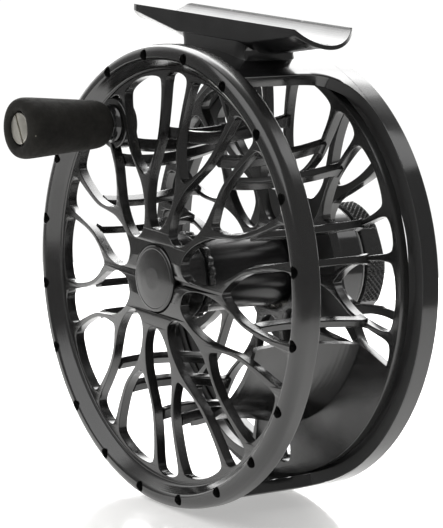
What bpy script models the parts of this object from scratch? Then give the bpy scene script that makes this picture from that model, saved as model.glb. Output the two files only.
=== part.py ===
"""Large-arbor fly reel: half frame with foot, veined spool, crank handle and disc drag.

Everything is modelled under the empty reel_axis. In its space +X is to the right, +Y is up
towards the foot, and +Z comes out of the front face, on the handle's side. Z = 0 is the
front plane of the spool's rim, so depths behind the rim are negative. The empty turns that
space upright and puts the world's origin on the foot's seat, at the bottom of its trough.
"""
import math

import bmesh
import bpy
from mathutils import Matrix

MM = 0.001
GAP = 0.3 * MM

# Spool
RIM_RADIUS = 50.0 * MM
RIM_REAR = -4.35 * MM
RIM_RIDGE_RADIUS = 47.85 * MM
RIM_HOLES = 20
RIM_HOLE_RADIUS = 1.25 * MM
RIM_HOLE_PHASE = 119.1
FACE_OUTER = 45.4 * MM
FACE_THICK = 2.3 * MM
FACE_HUB_FRONT = 2.75 * MM
FACE_EDGE_FRONT = -2.0 * MM
FACE_FLAT_RADIUS = 9.0 * MM
VEINS = 10
VEIN_PHASE = 1.0
ARBOR_OUTER = 33.2 * MM
ARBOR_BAR = 3.0 * MM
ARBOR_BAR_WIDTH = 1.6 * MM
ARBOR_BAR_OFFSET = 11.6
REAR_FLANGE_FRONT = -28.2 * MM
REAR_FLANGE_THICK = 2.3 * MM
REAR_FLANGE_RADIUS = 45.6 * MM
REAR_BORE = 9.2 * MM
COUNTERWEIGHT_ANGLE = -47.25
COUNTERWEIGHT_HALF = 28.75
COUNTERWEIGHT_WALL = 1.4 * MM

# Crank handle
HANDLE_ANGLE = 128.3
HANDLE_ORBIT = 38.55 * MM
HANDLE_FRONT = 23.25 * MM
HANDLE_BACK = 1.2 * MM
PAD_FRONT = -1.2 * MM
HANDLE_RADIUS = 6.65 * MM
HANDLE_NECK_RADIUS = 4.3 * MM
HANDLE_PAD_RADIUS = 5.6 * MM

# Spindle, drag hub and the drag's chamber
SPINDLE_RADIUS = 3.0 * MM
SPINDLE_REAR = -47.9 * MM
HUB_TUBE_RADIUS = 8.15 * MM
HUB_NOSE_RADIUS = 6.5 * MM
HUB_NOSE_FRONT = -2.2 * MM
HUB_TUBE_FRONT = -5.4 * MM
HUB_TUBE_REAR = -31.0 * MM
HUB_STEP_RADIUS = 7.5 * MM
HUB_STEP_REAR = -32.6 * MM
HUB_INNER = 6.6 * MM
CAP_RADIUS = 7.2 * MM
CAP_BACK = 1.9 * MM
WEB_FRONT = -0.1 * MM
WEB_REAR = -0.9 * MM
STEM_HOLE = 2.0 * MM
SLEEVE_RADIUS = 9.3 * MM
SLEEVE_REAR = -4.6 * MM
CLICK_TEETH = 32
CLICK_TIP = 10.4 * MM
CLICK_ROOT = 9.7 * MM
CLICK_FRONT = -31.3 * MM
CLICK_REAR = -32.5 * MM
PAWL_RADIUS = 14.6 * MM
PAWL_ANGLE = 205.0
PAWL_PIN_RADIUS = 0.8 * MM

# Drag discs inside the hub, and the adjuster's chamber behind the frame
DISC_COUNT = 3
DISC_FRONT = -13.4 * MM
DISC_PITCH = 3.4 * MM
DISC_THICK = 1.4 * MM
CHAMBER_RADIUS = 11.3 * MM
CHAMBER_FLOOR = -34.6 * MM
COVER_FRONT = -41.2 * MM
COVER_REAR = -43.3 * MM
DETENT_RADIUS = 9.75 * MM

# Frame
FRAME_RADIUS = 48.95 * MM
FRAME_INNER = 46.2 * MM
RING_INNER = 44.6 * MM
RING_FRONT = -31.45 * MM
RING_REAR = -35.7 * MM
PLATE_FRONT = -33.0 * MM
BRIDGE_FRONT = -5.0 * MM
BRIDGE_HALF_WIDTH = 19.0 * MM
LOWER_BRIDGE_LEFT = 0.0 * MM
BOSS_RADIUS = 13.5 * MM
BOSS_REAR = -43.6 * MM
FRAME_VEINS = 5
FRAME_VEIN_PHASE = 54.0

# Foot
FOOT_DEPTH = -17.4 * MM
FOOT_TOP = 55.9 * MM
FOOT_HALF_WIDTH = 7.4 * MM
FOOT_HALF_LENGTH = 29.9 * MM
FOOT_END_BULGE = 3.0 * MM
FOOT_TROUGH = 3.25 * MM
FOOT_MIDDLE_HALF = 13.0 * MM
FOOT_UNDERSIDE_EDGE = 51.5 * MM
FOOT_UNDERSIDE_SAG = 2.75 * MM
FOOT_TIP_RISE = 3.0 * MM
SADDLE_HALF_WIDTH = 7.4 * MM
PEDESTAL_CORNER = 3.0 * MM
FOOT_SCREW_X = 8.5 * MM

# Drag knob
KNOB_FRONT = -44.6 * MM
KNOB_REAR = -49.7 * MM
KNOB_RADIUS = 13.8 * MM
KNOB_SCALLOPS = 6
KNOB_SCALLOP_DEPTH = 0.5 * MM
KNOB_RECESS = -48.1 * MM
SLOT_WIDTH = 0.6 * MM
SLOT_DEPTH = 0.7 * MM

STEPS = 32
FINE_STEPS = 48
SMALL_STEPS = 20

# Half outlines of the windows in a veined disc: radius as a share of the rim's radius, and
# degrees to each side of the window's middle line.
KEYHOLE = ((0.212, 0.0), (0.222, 8.5), (0.26, 13.6), (0.33, 15.3), (0.42, 13.2),
           (0.50, 9.5), (0.60, 6.0), (0.72, 5.3), (0.84, 5.2), (0.872, 3.6), (0.88, 0.0))
PETAL = ((0.455, 0.0), (0.485, 4.2), (0.53, 7.6), (0.60, 10.0), (0.70, 10.8),
         (0.82, 10.3), (0.862, 8.2), (0.875, 0.0))
WEIGHT_BULB = ((0.212, 0.0), (0.222, 8.5), (0.26, 13.6), (0.33, 15.3), (0.42, 13.2),
               (0.50, 9.5), (0.56, 5.5), (0.58, 0.0))
WEIGHT_SLIT = ((0.64, 0.0), (0.66, 2.0), (0.72, 2.9), (0.80, 2.9), (0.845, 2.2), (0.86, 0.0))
WEIGHT_SLIT_HALF = 2.9
FRAME_PETAL = ((0.50, 0.0), (0.53, 3.8), (0.60, 7.6), (0.70, 9.6), (0.80, 9.6),
               (0.838, 7.4), (0.85, 0.0))
FRAME_WINDOW = ((0.34, 0.0), (0.345, 20.0), (0.38, 27.0), (0.46, 29.0), (0.56, 26.0),
                (0.70, 23.2), (0.80, 22.6), (0.838, 20.0), (0.85, 0.0))


def clear_scene():
    for item in list(bpy.data.objects):
        bpy.data.objects.remove(item, do_unlink=True)


def make_collection(name):
    collection = bpy.data.collections.new(name)
    bpy.context.scene.collection.children.link(collection)
    return collection


def make_material(name, color, roughness, metallic):
    material = bpy.data.materials.new(name)
    material.use_nodes = True
    shader = material.node_tree.nodes["Principled BSDF"]
    shader.inputs["Base Color"].default_value = (*color, 1.0)
    shader.inputs["Roughness"].default_value = roughness
    shader.inputs["Metallic"].default_value = metallic
    material.diffuse_color = (*color, 1.0)
    return material


clear_scene()
PARTS = make_collection("fly_reel")
CUTTERS = make_collection("cutters")

ANODISED = (0.022, 0.022, 0.024)
GLOSS_BLACK = (0.014, 0.014, 0.015)
STEEL = (0.58, 0.57, 0.55)


def make_empty(name, location, parent=None, upright=False):
    empty = bpy.data.objects.new(name, None)
    empty.empty_display_size = 0.01
    empty.location = location
    empty.parent = parent
    if upright:
        empty.rotation_euler = (math.radians(90.0), 0.0, 0.0)
    PARTS.objects.link(empty)
    return empty


def add_part(name, mesh, parent, color, roughness, metallic):
    """A finished sub-part with a material of its own."""
    part = bpy.data.objects.new(name, mesh)
    part.parent = parent
    mesh.materials.clear()
    mesh.materials.append(make_material(name, color, roughness, metallic))
    PARTS.objects.link(part)
    mesh.shade_smooth()
    mesh.set_sharp_from_angle(angle=math.radians(35.0))
    return part


def add_cutter(name, mesh, parent):
    """A hidden solid that a Boolean adds to a part or takes from it."""
    cutter = bpy.data.objects.new(name, mesh)
    cutter.parent = parent
    cutter.hide_render = True
    cutter.display_type = "WIRE"
    CUTTERS.objects.link(cutter)
    return cutter


def boolean(part, cutter, operation="DIFFERENCE"):
    modifier = part.modifiers.new(cutter.name, "BOOLEAN")
    modifier.operation = operation
    modifier.solver = "EXACT"
    modifier.object = cutter


def on_circle(radius, degrees):
    angle = math.radians(degrees)
    return (radius * math.cos(angle), radius * math.sin(angle))


# ---------------------------------------------------------------- shapes

def turned_mesh(name, profile, steps=STEPS):
    """Turn (radius, z) points about Z. The outer side runs from the front to the rear.

    A profile that starts and ends at radius 0 makes a solid; any other one is closed into a
    ring. The turning is a Screw modifier, evaluated here so that the mesh can be cut.
    """
    edges = [(i, i + 1) for i in range(len(profile) - 1)]
    if profile[0][0] > 0.0:
        edges.append((len(profile) - 1, 0))
    outline = bpy.data.meshes.new(name + "_profile")
    outline.from_pydata([(radius, 0.0, z) for radius, z in profile], edges, [])
    holder = bpy.data.objects.new(name + "_profile", outline)
    CUTTERS.objects.link(holder)
    screw = holder.modifiers.new("turn", "SCREW")
    screw.axis = "Z"
    screw.angle = math.tau
    screw.steps = steps
    screw.render_steps = steps
    screw.use_merge_vertices = True
    screw.merge_threshold = 0.00001
    return evaluated_mesh(holder)


def evaluated_mesh(holder):
    """The mesh that a helper object makes; the helper itself is removed."""
    bpy.context.view_layer.update()
    seen = holder.evaluated_get(bpy.context.evaluated_depsgraph_get())
    mesh = bpy.data.meshes.new_from_object(seen)
    bpy.data.objects.remove(holder, do_unlink=True)
    shape = bmesh.new()
    shape.from_mesh(mesh)
    bmesh.ops.remove_doubles(shape, verts=shape.verts, dist=0.00001)
    bmesh.ops.recalc_face_normals(shape, faces=shape.faces)
    shape.to_mesh(mesh)
    shape.free()
    return mesh


def plate_mesh(name, outlines, front, rear):
    """A flat plate between two depths. The first outline is its edge, the rest are holes."""
    curve = bpy.data.curves.new(name, "CURVE")
    curve.dimensions = "2D"
    curve.fill_mode = "BOTH"
    curve.extrude = (front - rear) / 2.0
    for outline in outlines:
        spline = curve.splines.new("POLY")
        spline.points.add(len(outline) - 1)
        for point, (x, y) in zip(spline.points, outline):
            point.co = (x, y, 0.0, 1.0)
        spline.use_cyclic_u = True
    holder = bpy.data.objects.new(name, curve)
    CUTTERS.objects.link(holder)
    mesh = evaluated_mesh(holder)
    for vertex in mesh.vertices:
        vertex.co.z += (front + rear) / 2.0
    return mesh


def ring(inner, outer, front, rear):
    return ((outer, front), (outer, rear), (inner, rear), (inner, front))


def disc(radius, front, rear):
    return ((0.0, front), (radius, front), (radius, rear), (0.0, rear))


def circle_outline(radius, count, middle=(0.0, 0.0)):
    points = [on_circle(radius, 360.0 * i / count) for i in range(count)]
    return [(middle[0] + x, middle[1] + y) for x, y in points]


def smooth_loop(points, pieces):
    """A closed Catmull-Rom curve through the points, each span cut into equal pieces."""
    loop = []
    count = len(points)
    for i in range(count):
        before, start, end, after = (points[(i + k) % count] for k in (-1, 0, 1, 2))
        for step in range(pieces):
            t = step / pieces
            loop.append(tuple(
                0.5 * (2.0 * b + (c - a) * t + (2.0 * a - 5.0 * b + 4.0 * c - d) * t * t
                       + (3.0 * b - a - 3.0 * c + d) * t * t * t)
                for a, b, c, d in zip(before, start, end, after)))
    return loop


def window_outline(half, middle_angle, pieces=1):
    """A window from its half outline, mirrored about the radius at middle_angle."""
    right = [(radius, -angle) for radius, angle in half]
    left = [(radius, angle) for radius, angle in reversed(half[1:-1])]
    corners = [on_circle(radius * RIM_RADIUS, middle_angle + angle) for radius, angle in right + left]
    return smooth_loop(corners, pieces)


def veined_outlines(radius, skip=()):
    """The edge and the windows of the spool's veined pattern; skip leaves windows solid."""
    outlines = [circle_outline(radius, FINE_STEPS)]
    for i in range(VEINS):
        stem = VEIN_PHASE + 360.0 / VEINS * i
        gap = stem + 180.0 / VEINS
        if stem not in skip:
            outlines.append(window_outline(PETAL, stem))
        if gap not in skip:
            outlines.append(window_outline(KEYHOLE, gap))
    return outlines


def face_depth(radius):
    """Depth of the dished front face, flat over the hub and conical out to the rim."""
    share = (radius - FACE_FLAT_RADIUS) / (42.5 * MM - FACE_FLAT_RADIUS)
    share = min(max(share, 0.0), 1.0)
    return FACE_HUB_FRONT + share * (FACE_EDGE_FRONT - FACE_HUB_FRONT)


def add_dish(mesh):
    for vertex in mesh.vertices:
        vertex.co.z += face_depth(math.hypot(vertex.co.x, vertex.co.y))


# ---------------------------------------------------------------- axes

AXIS = make_empty("reel_axis", (0.0, FOOT_DEPTH, FOOT_TROUGH - FOOT_TOP), upright=True)
HANDLE_AXIS = make_empty("handle_axis", (*on_circle(HANDLE_ORBIT, HANDLE_ANGLE), 0.0), AXIS)
PAWL_AXIS = make_empty("pawl_axis", (*on_circle(PAWL_RADIUS, PAWL_ANGLE), 0.0), AXIS)


# ---------------------------------------------------------------- spool

def make_spool_face():
    """Front flange: veined dish, rim with its ring of holes, hub sleeve and handle pad."""
    mesh = plate_mesh("spool_face", veined_outlines(FACE_OUTER), 0.0, -FACE_THICK)
    add_dish(mesh)
    face = add_part("spool_face", mesh, AXIS, ANODISED, 0.38, 0.6)
    rim = ((49.0 * MM, 0.7 * MM), (49.8 * MM, -0.2 * MM), (RIM_RADIUS, -1.1 * MM),
           (RIM_RADIUS, RIM_REAR), (44.3 * MM, RIM_REAR), (44.3 * MM, -2.4 * MM),
           (44.9 * MM, -1.4 * MM), (46.8 * MM, 0.8 * MM), (RIM_RIDGE_RADIUS, 1.1 * MM))
    boolean(face, add_cutter("rim", turned_mesh("rim", rim, FINE_STEPS), AXIS), "UNION")
    sleeve = disc(SLEEVE_RADIUS, 1.2 * MM, SLEEVE_REAR)
    boolean(face, add_cutter("hub_sleeve", turned_mesh("hub_sleeve", sleeve), AXIS), "UNION")
    pad = turned_mesh("handle_pad", disc(HANDLE_PAD_RADIUS, PAD_FRONT, RIM_REAR + 0.1 * MM), 24)
    boolean(face, add_cutter("handle_pad", pad, HANDLE_AXIS), "UNION")
    hollow = ((0.0, 4.0 * MM), (CAP_RADIUS + GAP, 4.0 * MM), (CAP_RADIUS + GAP, WEB_FRONT),
              (STEM_HOLE, WEB_FRONT), (STEM_HOLE, WEB_REAR), (HUB_NOSE_RADIUS + GAP, WEB_REAR),
              (HUB_NOSE_RADIUS + GAP, -6.0 * MM), (0.0, -6.0 * MM))
    boolean(face, add_cutter("hub_hollow", turned_mesh("hub_hollow", hollow), AXIS))
    post_bore = disc(2.3 * MM, 1.0 * MM, -6.0 * MM)
    boolean(face, add_cutter("post_bore", turned_mesh("post_bore", post_bore, 16), HANDLE_AXIS))
    boolean(face, add_cutter("rim_holes", rim_hole_mesh(), AXIS))
    return face


def rim_hole_mesh():
    """One drill for each hole of the rim, as a single cutter of separate pins."""
    pins = bmesh.new()
    for i in range(RIM_HOLES):
        x, y = on_circle(RIM_RIDGE_RADIUS, RIM_HOLE_PHASE + 360.0 / RIM_HOLES * i)
        made = bmesh.ops.create_cone(pins, cap_ends=True, segments=6, radius1=RIM_HOLE_RADIUS,
                                     radius2=RIM_HOLE_RADIUS, depth=12.0 * MM)
        bmesh.ops.translate(pins, verts=made["verts"], vec=(x, y, -1.0 * MM))
    mesh = bpy.data.meshes.new("rim_holes")
    pins.to_mesh(mesh)
    pins.free()
    return mesh


def sector_outline(inner, outer, middle, half, count=10):
    """An annular sector, as an outline."""
    angles = [middle - half + 2.0 * half * i / count for i in range(count + 1)]
    return [on_circle(outer, a) for a in angles] + [on_circle(inner, a) for a in reversed(angles)]


def arbor_bar_mesh(front, rear):
    """The flat bars that join the flanges, one behind each branch of the veins."""
    bars = bmesh.new()
    for i in range(VEINS):
        for side in (-1.0, 1.0):
            angle = VEIN_PHASE + 360.0 / VEINS * i + side * ARBOR_BAR_OFFSET
            away = abs((angle - COUNTERWEIGHT_ANGLE + 180.0) % 360.0 - 180.0)
            if away < COUNTERWEIGHT_HALF:
                continue
            made = bmesh.ops.create_cube(bars, size=1.0)["verts"]
            bmesh.ops.scale(bars, verts=made, vec=(ARBOR_BAR, ARBOR_BAR_WIDTH, front - rear))
            middle = (ARBOR_OUTER - ARBOR_BAR / 2.0, 0.0, (front + rear) / 2.0)
            bmesh.ops.translate(bars, verts=made, vec=middle)
            turn = Matrix.Rotation(math.radians(angle), 3, "Z")
            bmesh.ops.rotate(bars, verts=made, cent=(0.0, 0.0, 0.0), matrix=turn)
    mesh = bpy.data.meshes.new("arbor_bars")
    bars.to_mesh(mesh)
    bars.free()
    return mesh


def make_spool_back():
    """Rear flange, arbor bars and the solid sector that balances the handle."""
    weight_stems = [VEIN_PHASE + 360.0 / VEINS * i for i in (8, 9)]
    weight_gap = weight_stems[0] + 180.0 / VEINS
    outlines = veined_outlines(REAR_FLANGE_RADIUS, skip=(*weight_stems, weight_gap))
    outlines.append(window_outline(WEIGHT_BULB, weight_gap))
    slit_angle = COUNTERWEIGHT_ANGLE - COUNTERWEIGHT_HALF - WEIGHT_SLIT_HALF
    outlines.append(window_outline(WEIGHT_SLIT, slit_angle))
    outlines.append(circle_outline(REAR_BORE, 32))
    rear = REAR_FLANGE_FRONT - REAR_FLANGE_THICK
    mesh = plate_mesh("spool_back", outlines, REAR_FLANGE_FRONT, rear)
    back = add_part("spool_back", mesh, AXIS, ANODISED, 0.38, 0.6)
    front = face_depth(ARBOR_OUTER) - FACE_THICK - GAP
    inside = REAR_FLANGE_FRONT - 0.8 * MM
    boolean(back, add_cutter("arbor_bars", arbor_bar_mesh(front, inside), AXIS), "UNION")
    shell_inner = ARBOR_OUTER - COUNTERWEIGHT_WALL
    shell = sector_outline(shell_inner, ARBOR_OUTER, COUNTERWEIGHT_ANGLE, COUNTERWEIGHT_HALF)
    shell_mesh = plate_mesh("counterweight", [shell], front, inside)
    boolean(back, add_cutter("counterweight", shell_mesh, AXIS), "UNION")
    web = sector_outline(shell_inner, REAR_FLANGE_RADIUS - 0.4 * MM, COUNTERWEIGHT_ANGLE,
                         COUNTERWEIGHT_HALF)
    web_mesh = plate_mesh("counterweight_web", [web], REAR_FLANGE_FRONT - 0.1 * MM,
                          rear + 0.1 * MM)
    boolean(back, add_cutter("counterweight_web", web_mesh, AXIS), "UNION")
    return back


def make_release_cap():
    """Domed push button in the hub, on a stem that reaches the spindle's latch."""
    profile = ((0.0, 3.2 * MM), (3.6 * MM, 3.13 * MM), (6.6 * MM, 2.9 * MM), (CAP_RADIUS, 2.6 * MM),
               (CAP_RADIUS, CAP_BACK), (1.6 * MM, CAP_BACK), (1.6 * MM, -1.7 * MM),
               (0.0, -1.7 * MM))
    return add_part("release_cap", turned_mesh("release_cap", profile), AXIS, ANODISED, 0.3, 0.7)


def make_ring_part(name, inner, outer, front, rear, color, roughness, metallic, parent=AXIS,
                   steps=STEPS):
    mesh = turned_mesh(name, ring(inner, outer, front, rear), steps)
    return add_part(name, mesh, parent, color, roughness, metallic)


# ---------------------------------------------------------------- crank handle

def make_handle():
    """Grip on two bushings, turning on a post that a slotted screw closes."""
    grip = ((3.9 * MM, 22.95 * MM), (5.4 * MM, HANDLE_FRONT), (6.25 * MM, 22.7 * MM),
            (HANDLE_RADIUS, 21.4 * MM), (6.1 * MM, 13.5 * MM), (5.65 * MM, 7.7 * MM),
            (5.35 * MM, 3.3 * MM), (4.4 * MM, HANDLE_BACK),
            (3.6 * MM, HANDLE_BACK), (3.6 * MM, 20.4 * MM), (3.9 * MM, 20.7 * MM))
    add_part("handle_grip", turned_mesh("handle_grip", grip, 24), HANDLE_AXIS, (0.02, 0.02, 0.02),
             0.85, 0.0)
    bronze = (0.5, 0.33, 0.16)
    for name, front in (("handle_bushing_front", 20.2 * MM), ("handle_bushing_back", 6.8 * MM)):
        make_ring_part(name, 2.3 * MM, 3.3 * MM, front, front - 5.0 * MM, bronze, 0.4, 1.0,
                       HANDLE_AXIS, SMALL_STEPS)
    make_ring_part("handle_collar", 2.3 * MM, HANDLE_NECK_RADIUS, HANDLE_BACK - 0.4 * MM,
                   PAD_FRONT + GAP, ANODISED, 0.3, 0.6, HANDLE_AXIS, SMALL_STEPS)
    post = ((1.3 * MM, 20.6 * MM), (2.0 * MM, 20.6 * MM), (2.0 * MM, -4.0 * MM), (0.0, -4.0 * MM),
            (0.0, 13.0 * MM), (1.3 * MM, 13.0 * MM))
    add_part("handle_post", turned_mesh("handle_post", as_solid(post), 16), HANDLE_AXIS, STEEL,
             0.35, 1.0)
    make_slotted_screw("handle_screw", 3.45 * MM, 22.6 * MM, 20.9 * MM, 1.0 * MM, 14.0 * MM,
                       HANDLE_AXIS, 120.0)


def as_solid(profile):
    """Turn a cup's outline into a run that starts and ends on the axis."""
    start = [i for i, (radius, _) in enumerate(profile) if radius == 0.0][1]
    return tuple(profile[start:]) + tuple(profile[:start])


def make_slotted_screw(name, head, front, seat, shank, tip, parent, slot_angle, rearward=False):
    """A flat-headed screw with a straight slot; rearward turns its head to the rear."""
    profile = ((0.0, front), (head - 0.3 * MM, front), (head, front - 0.3 * MM), (head, seat),
               (shank, seat), (shank, tip), (0.0, tip))
    if rearward:
        profile = tuple(reversed(profile))
    screw = add_part(name, turned_mesh(name, profile, SMALL_STEPS), parent, STEEL, 0.25, 1.0)
    shape = bmesh.new()
    bmesh.ops.create_cube(shape, size=1.0)
    bmesh.ops.scale(shape, verts=shape.verts, vec=(3.0 * head, SLOT_WIDTH, 2.0 * SLOT_DEPTH))
    turn = Matrix.Rotation(math.radians(slot_angle), 3, "Z")
    bmesh.ops.rotate(shape, verts=shape.verts, cent=(0.0, 0.0, 0.0), matrix=turn)
    bmesh.ops.translate(shape, verts=shape.verts, vec=(0.0, 0.0, front))
    slot = bpy.data.meshes.new(name + "_slot")
    shape.to_mesh(slot)
    shape.free()
    boolean(screw, add_cutter(name + "_slot", slot, parent))
    return screw


# ---------------------------------------------------------------- hub and drag

def make_drag_hub():
    """The tube that the spool locks onto, with a nose, bearing seats and a rear step."""
    seat = 5.3 * MM
    profile = ((seat, HUB_NOSE_FRONT), (HUB_NOSE_RADIUS, HUB_NOSE_FRONT),
               (HUB_NOSE_RADIUS, HUB_TUBE_FRONT), (HUB_TUBE_RADIUS, HUB_TUBE_FRONT),
               (HUB_TUBE_RADIUS, HUB_TUBE_REAR), (HUB_STEP_RADIUS, HUB_TUBE_REAR),
               (HUB_STEP_RADIUS, HUB_STEP_REAR), (HUB_INNER, HUB_STEP_REAR),
               (HUB_INNER, -6.4 * MM), (3.6 * MM, -6.4 * MM), (3.6 * MM, -5.3 * MM),
               (seat, -5.3 * MM))
    add_part("drag_hub", turned_mesh("drag_hub", profile), AXIS, GLOSS_BLACK, 0.18, 0.8)


def toothed_ring(name, teeth, root, tip, inner, front, rear, color, roughness):
    """A flat ring with straight-sided teeth round its edge."""
    edge = []
    for i in range(teeth):
        middle = 360.0 / teeth * i
        pitch = 360.0 / teeth
        edge.append(on_circle(root, middle - 0.42 * pitch))
        edge.append(on_circle(tip, middle - 0.14 * pitch))
        edge.append(on_circle(tip, middle + 0.14 * pitch))
        edge.append(on_circle(root, middle + 0.42 * pitch))
    mesh = plate_mesh(name, [edge, circle_outline(inner, 24)], front, rear)
    return add_part(name, mesh, AXIS, color, roughness, 1.0)


def make_bearing(name, inner, outer, front, rear):
    """Ball bearing with its shields set back between the two races."""
    third = (outer - inner) / 4.0
    dip = 0.15 * (front - rear)
    profile = ((outer, front), (outer, rear), (outer - third, rear), (outer - third, rear + dip),
               (inner + third, rear + dip), (inner + third, rear), (inner, rear), (inner, front),
               (inner + third, front), (inner + third, front - dip),
               (outer - third, front - dip), (outer - third, front))
    add_part(name, turned_mesh(name, profile, SMALL_STEPS), AXIS, STEEL, 0.2, 1.0)


def make_drag():
    """What turns with the hub or presses on it, all threaded on the spindle."""
    make_bearing("front_bearing", SPINDLE_RADIUS + GAP, 5.0 * MM, -2.5 * MM, -5.0 * MM)
    make_bearing("rear_bearing", SPINDLE_RADIUS + GAP, 6.3 * MM, -28.9 * MM, -31.9 * MM)
    make_ring_part("one_way_clutch", SPINDLE_RADIUS + GAP, 6.3 * MM, -6.8 * MM, -13.0 * MM,
                   (0.45, 0.45, 0.46), 0.35, 1.0, steps=SMALL_STEPS)
    for i in range(DISC_COUNT):
        front = DISC_FRONT - i * DISC_PITCH
        make_ring_part(f"steel_disc_{i + 1}", SPINDLE_RADIUS + GAP, 6.3 * MM, front,
                       front - DISC_THICK, STEEL, 0.3, 1.0, steps=SMALL_STEPS)
        carbon_front = front - DISC_THICK - GAP
        make_ring_part(f"carbon_disc_{i + 1}", SPINDLE_RADIUS + GAP, 6.2 * MM, carbon_front,
                       carbon_front - DISC_THICK, (0.03, 0.03, 0.032), 0.6, 0.0, steps=SMALL_STEPS)
    plate_front = DISC_FRONT - DISC_COUNT * DISC_PITCH
    make_ring_part("pressure_plate", SPINDLE_RADIUS + GAP, 6.3 * MM, plate_front,
                   plate_front - 1.6 * MM, (0.6, 0.6, 0.62), 0.35, 1.0, steps=SMALL_STEPS)
    make_ring_part("hub_spacer", SPINDLE_RADIUS + GAP, 4.6 * MM, plate_front - 1.9 * MM,
                   -28.6 * MM, (0.45, 0.45, 0.46), 0.4, 1.0, steps=SMALL_STEPS)
    washer = ((3.6 * MM, -35.0 * MM), (4.2 * MM, -35.0 * MM), (8.5 * MM, -36.2 * MM),
              (8.5 * MM, -36.9 * MM), (7.9 * MM, -36.9 * MM), (3.6 * MM, -35.7 * MM))
    add_part("thrust_spring", turned_mesh("thrust_spring", washer, 24), AXIS, STEEL, 0.3, 1.0)


def make_spindle():
    """Steel axle from the spool's latch to the drag knob, bored at both ends."""
    profile = ((0.0, -5.0 * MM), (1.9 * MM, -5.0 * MM), (1.9 * MM, -1.2 * MM),
               (SPINDLE_RADIUS, -1.2 * MM), (SPINDLE_RADIUS, SPINDLE_REAR),
               (1.9 * MM, SPINDLE_REAR), (1.9 * MM, -41.0 * MM), (0.0, -41.0 * MM))
    add_part("spindle", turned_mesh("spindle", profile, 24), AXIS, STEEL, 0.22, 1.0)


def make_click():
    """Click pawl on its pin beside the toothed ring, with a wire spring that holds it."""
    pawl = [(-1.5, 0.9), (-1.9, 0.0), (-1.5, -0.9), (0.3, -1.5), (1.6, -0.9), (3.75, -0.25),
            (3.75, 0.25), (1.6, 0.9), (0.3, 1.5)]
    outline = [toward_axis(along, across) for along, across in pawl]
    hole = circle_outline(PAWL_PIN_RADIUS + 0.1 * MM, 12)
    mesh = plate_mesh("click_pawl", [outline, hole], CLICK_FRONT, CLICK_REAR)
    add_part("click_pawl", mesh, PAWL_AXIS, (0.5, 0.5, 0.5), 0.3, 1.0)
    pin = disc(PAWL_PIN_RADIUS, CLICK_FRONT + 0.1 * MM, -34.6 * MM)
    add_part("pawl_pin", turned_mesh("pawl_pin", pin, 12), PAWL_AXIS, STEEL, 0.25, 1.0)
    make_pawl_spring()


def toward_axis(along, across):
    """Millimetres towards the reel's axis and across, from the pawl's pin."""
    x, y = on_circle(MM, PAWL_ANGLE + 180.0)
    return (along * x - across * y, along * y + across * x)


def make_pawl_spring():
    """A hairpin of spring wire that lies beside the pawl on the frame's hub."""
    route = ((2.8, -1.9), (1.2, -2.4), (-0.6, -2.6), (-2.2, -2.2), (-3.3, -1.3), (-3.5, 0.2),
             (-2.9, 1.4))
    curve = bpy.data.curves.new("pawl_spring", "CURVE")
    curve.dimensions = "3D"
    curve.bevel_depth = 0.25 * MM
    curve.bevel_resolution = 1
    curve.use_fill_caps = True
    spline = curve.splines.new("POLY")
    spline.points.add(len(route) - 1)
    middle = (CLICK_FRONT + CLICK_REAR) / 2.0
    for point, (along, across) in zip(spline.points, route):
        point.co = (*toward_axis(along, across), middle, 1.0)
    holder = bpy.data.objects.new("pawl_spring_wire", curve)
    CUTTERS.objects.link(holder)
    add_part("pawl_spring", evaluated_mesh(holder), PAWL_AXIS, STEEL, 0.25, 1.0)


# ---------------------------------------------------------------- frame

def frame_plate_outlines():
    outlines = [circle_outline(RING_INNER + 1.0 * MM, FINE_STEPS)]
    for i in range(FRAME_VEINS):
        stem = FRAME_VEIN_PHASE + 360.0 / FRAME_VEINS * i
        outlines.append(window_outline(FRAME_PETAL, stem))
        outlines.append(window_outline(FRAME_WINDOW, stem + 180.0 / FRAME_VEINS))
    return outlines


def bridge_side_cutter(name, edge, side, bottom, top):
    """What is cut off the frame's tube beside a bridge's edge, with a flare into the ring."""
    flare = ((0.0, 0.0), (0.0, -20.5), (0.6, -24.5), (2.2, -27.3), (5.3, -29.7),
             (10.0, -31.0), (17.0, -31.4), (60.0, -31.45), (60.0, 0.0))
    outline = [(edge + side * x * MM, z * MM) for x, z in flare]
    mesh = plate_mesh(name, [outline], -bottom, -top)
    # The outline's second axis is depth, so the prism is laid along the upright axis.
    mesh.transform(Matrix.Rotation(math.radians(90.0), 4, "X"))
    return add_cutter(name, mesh, AXIS)


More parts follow.
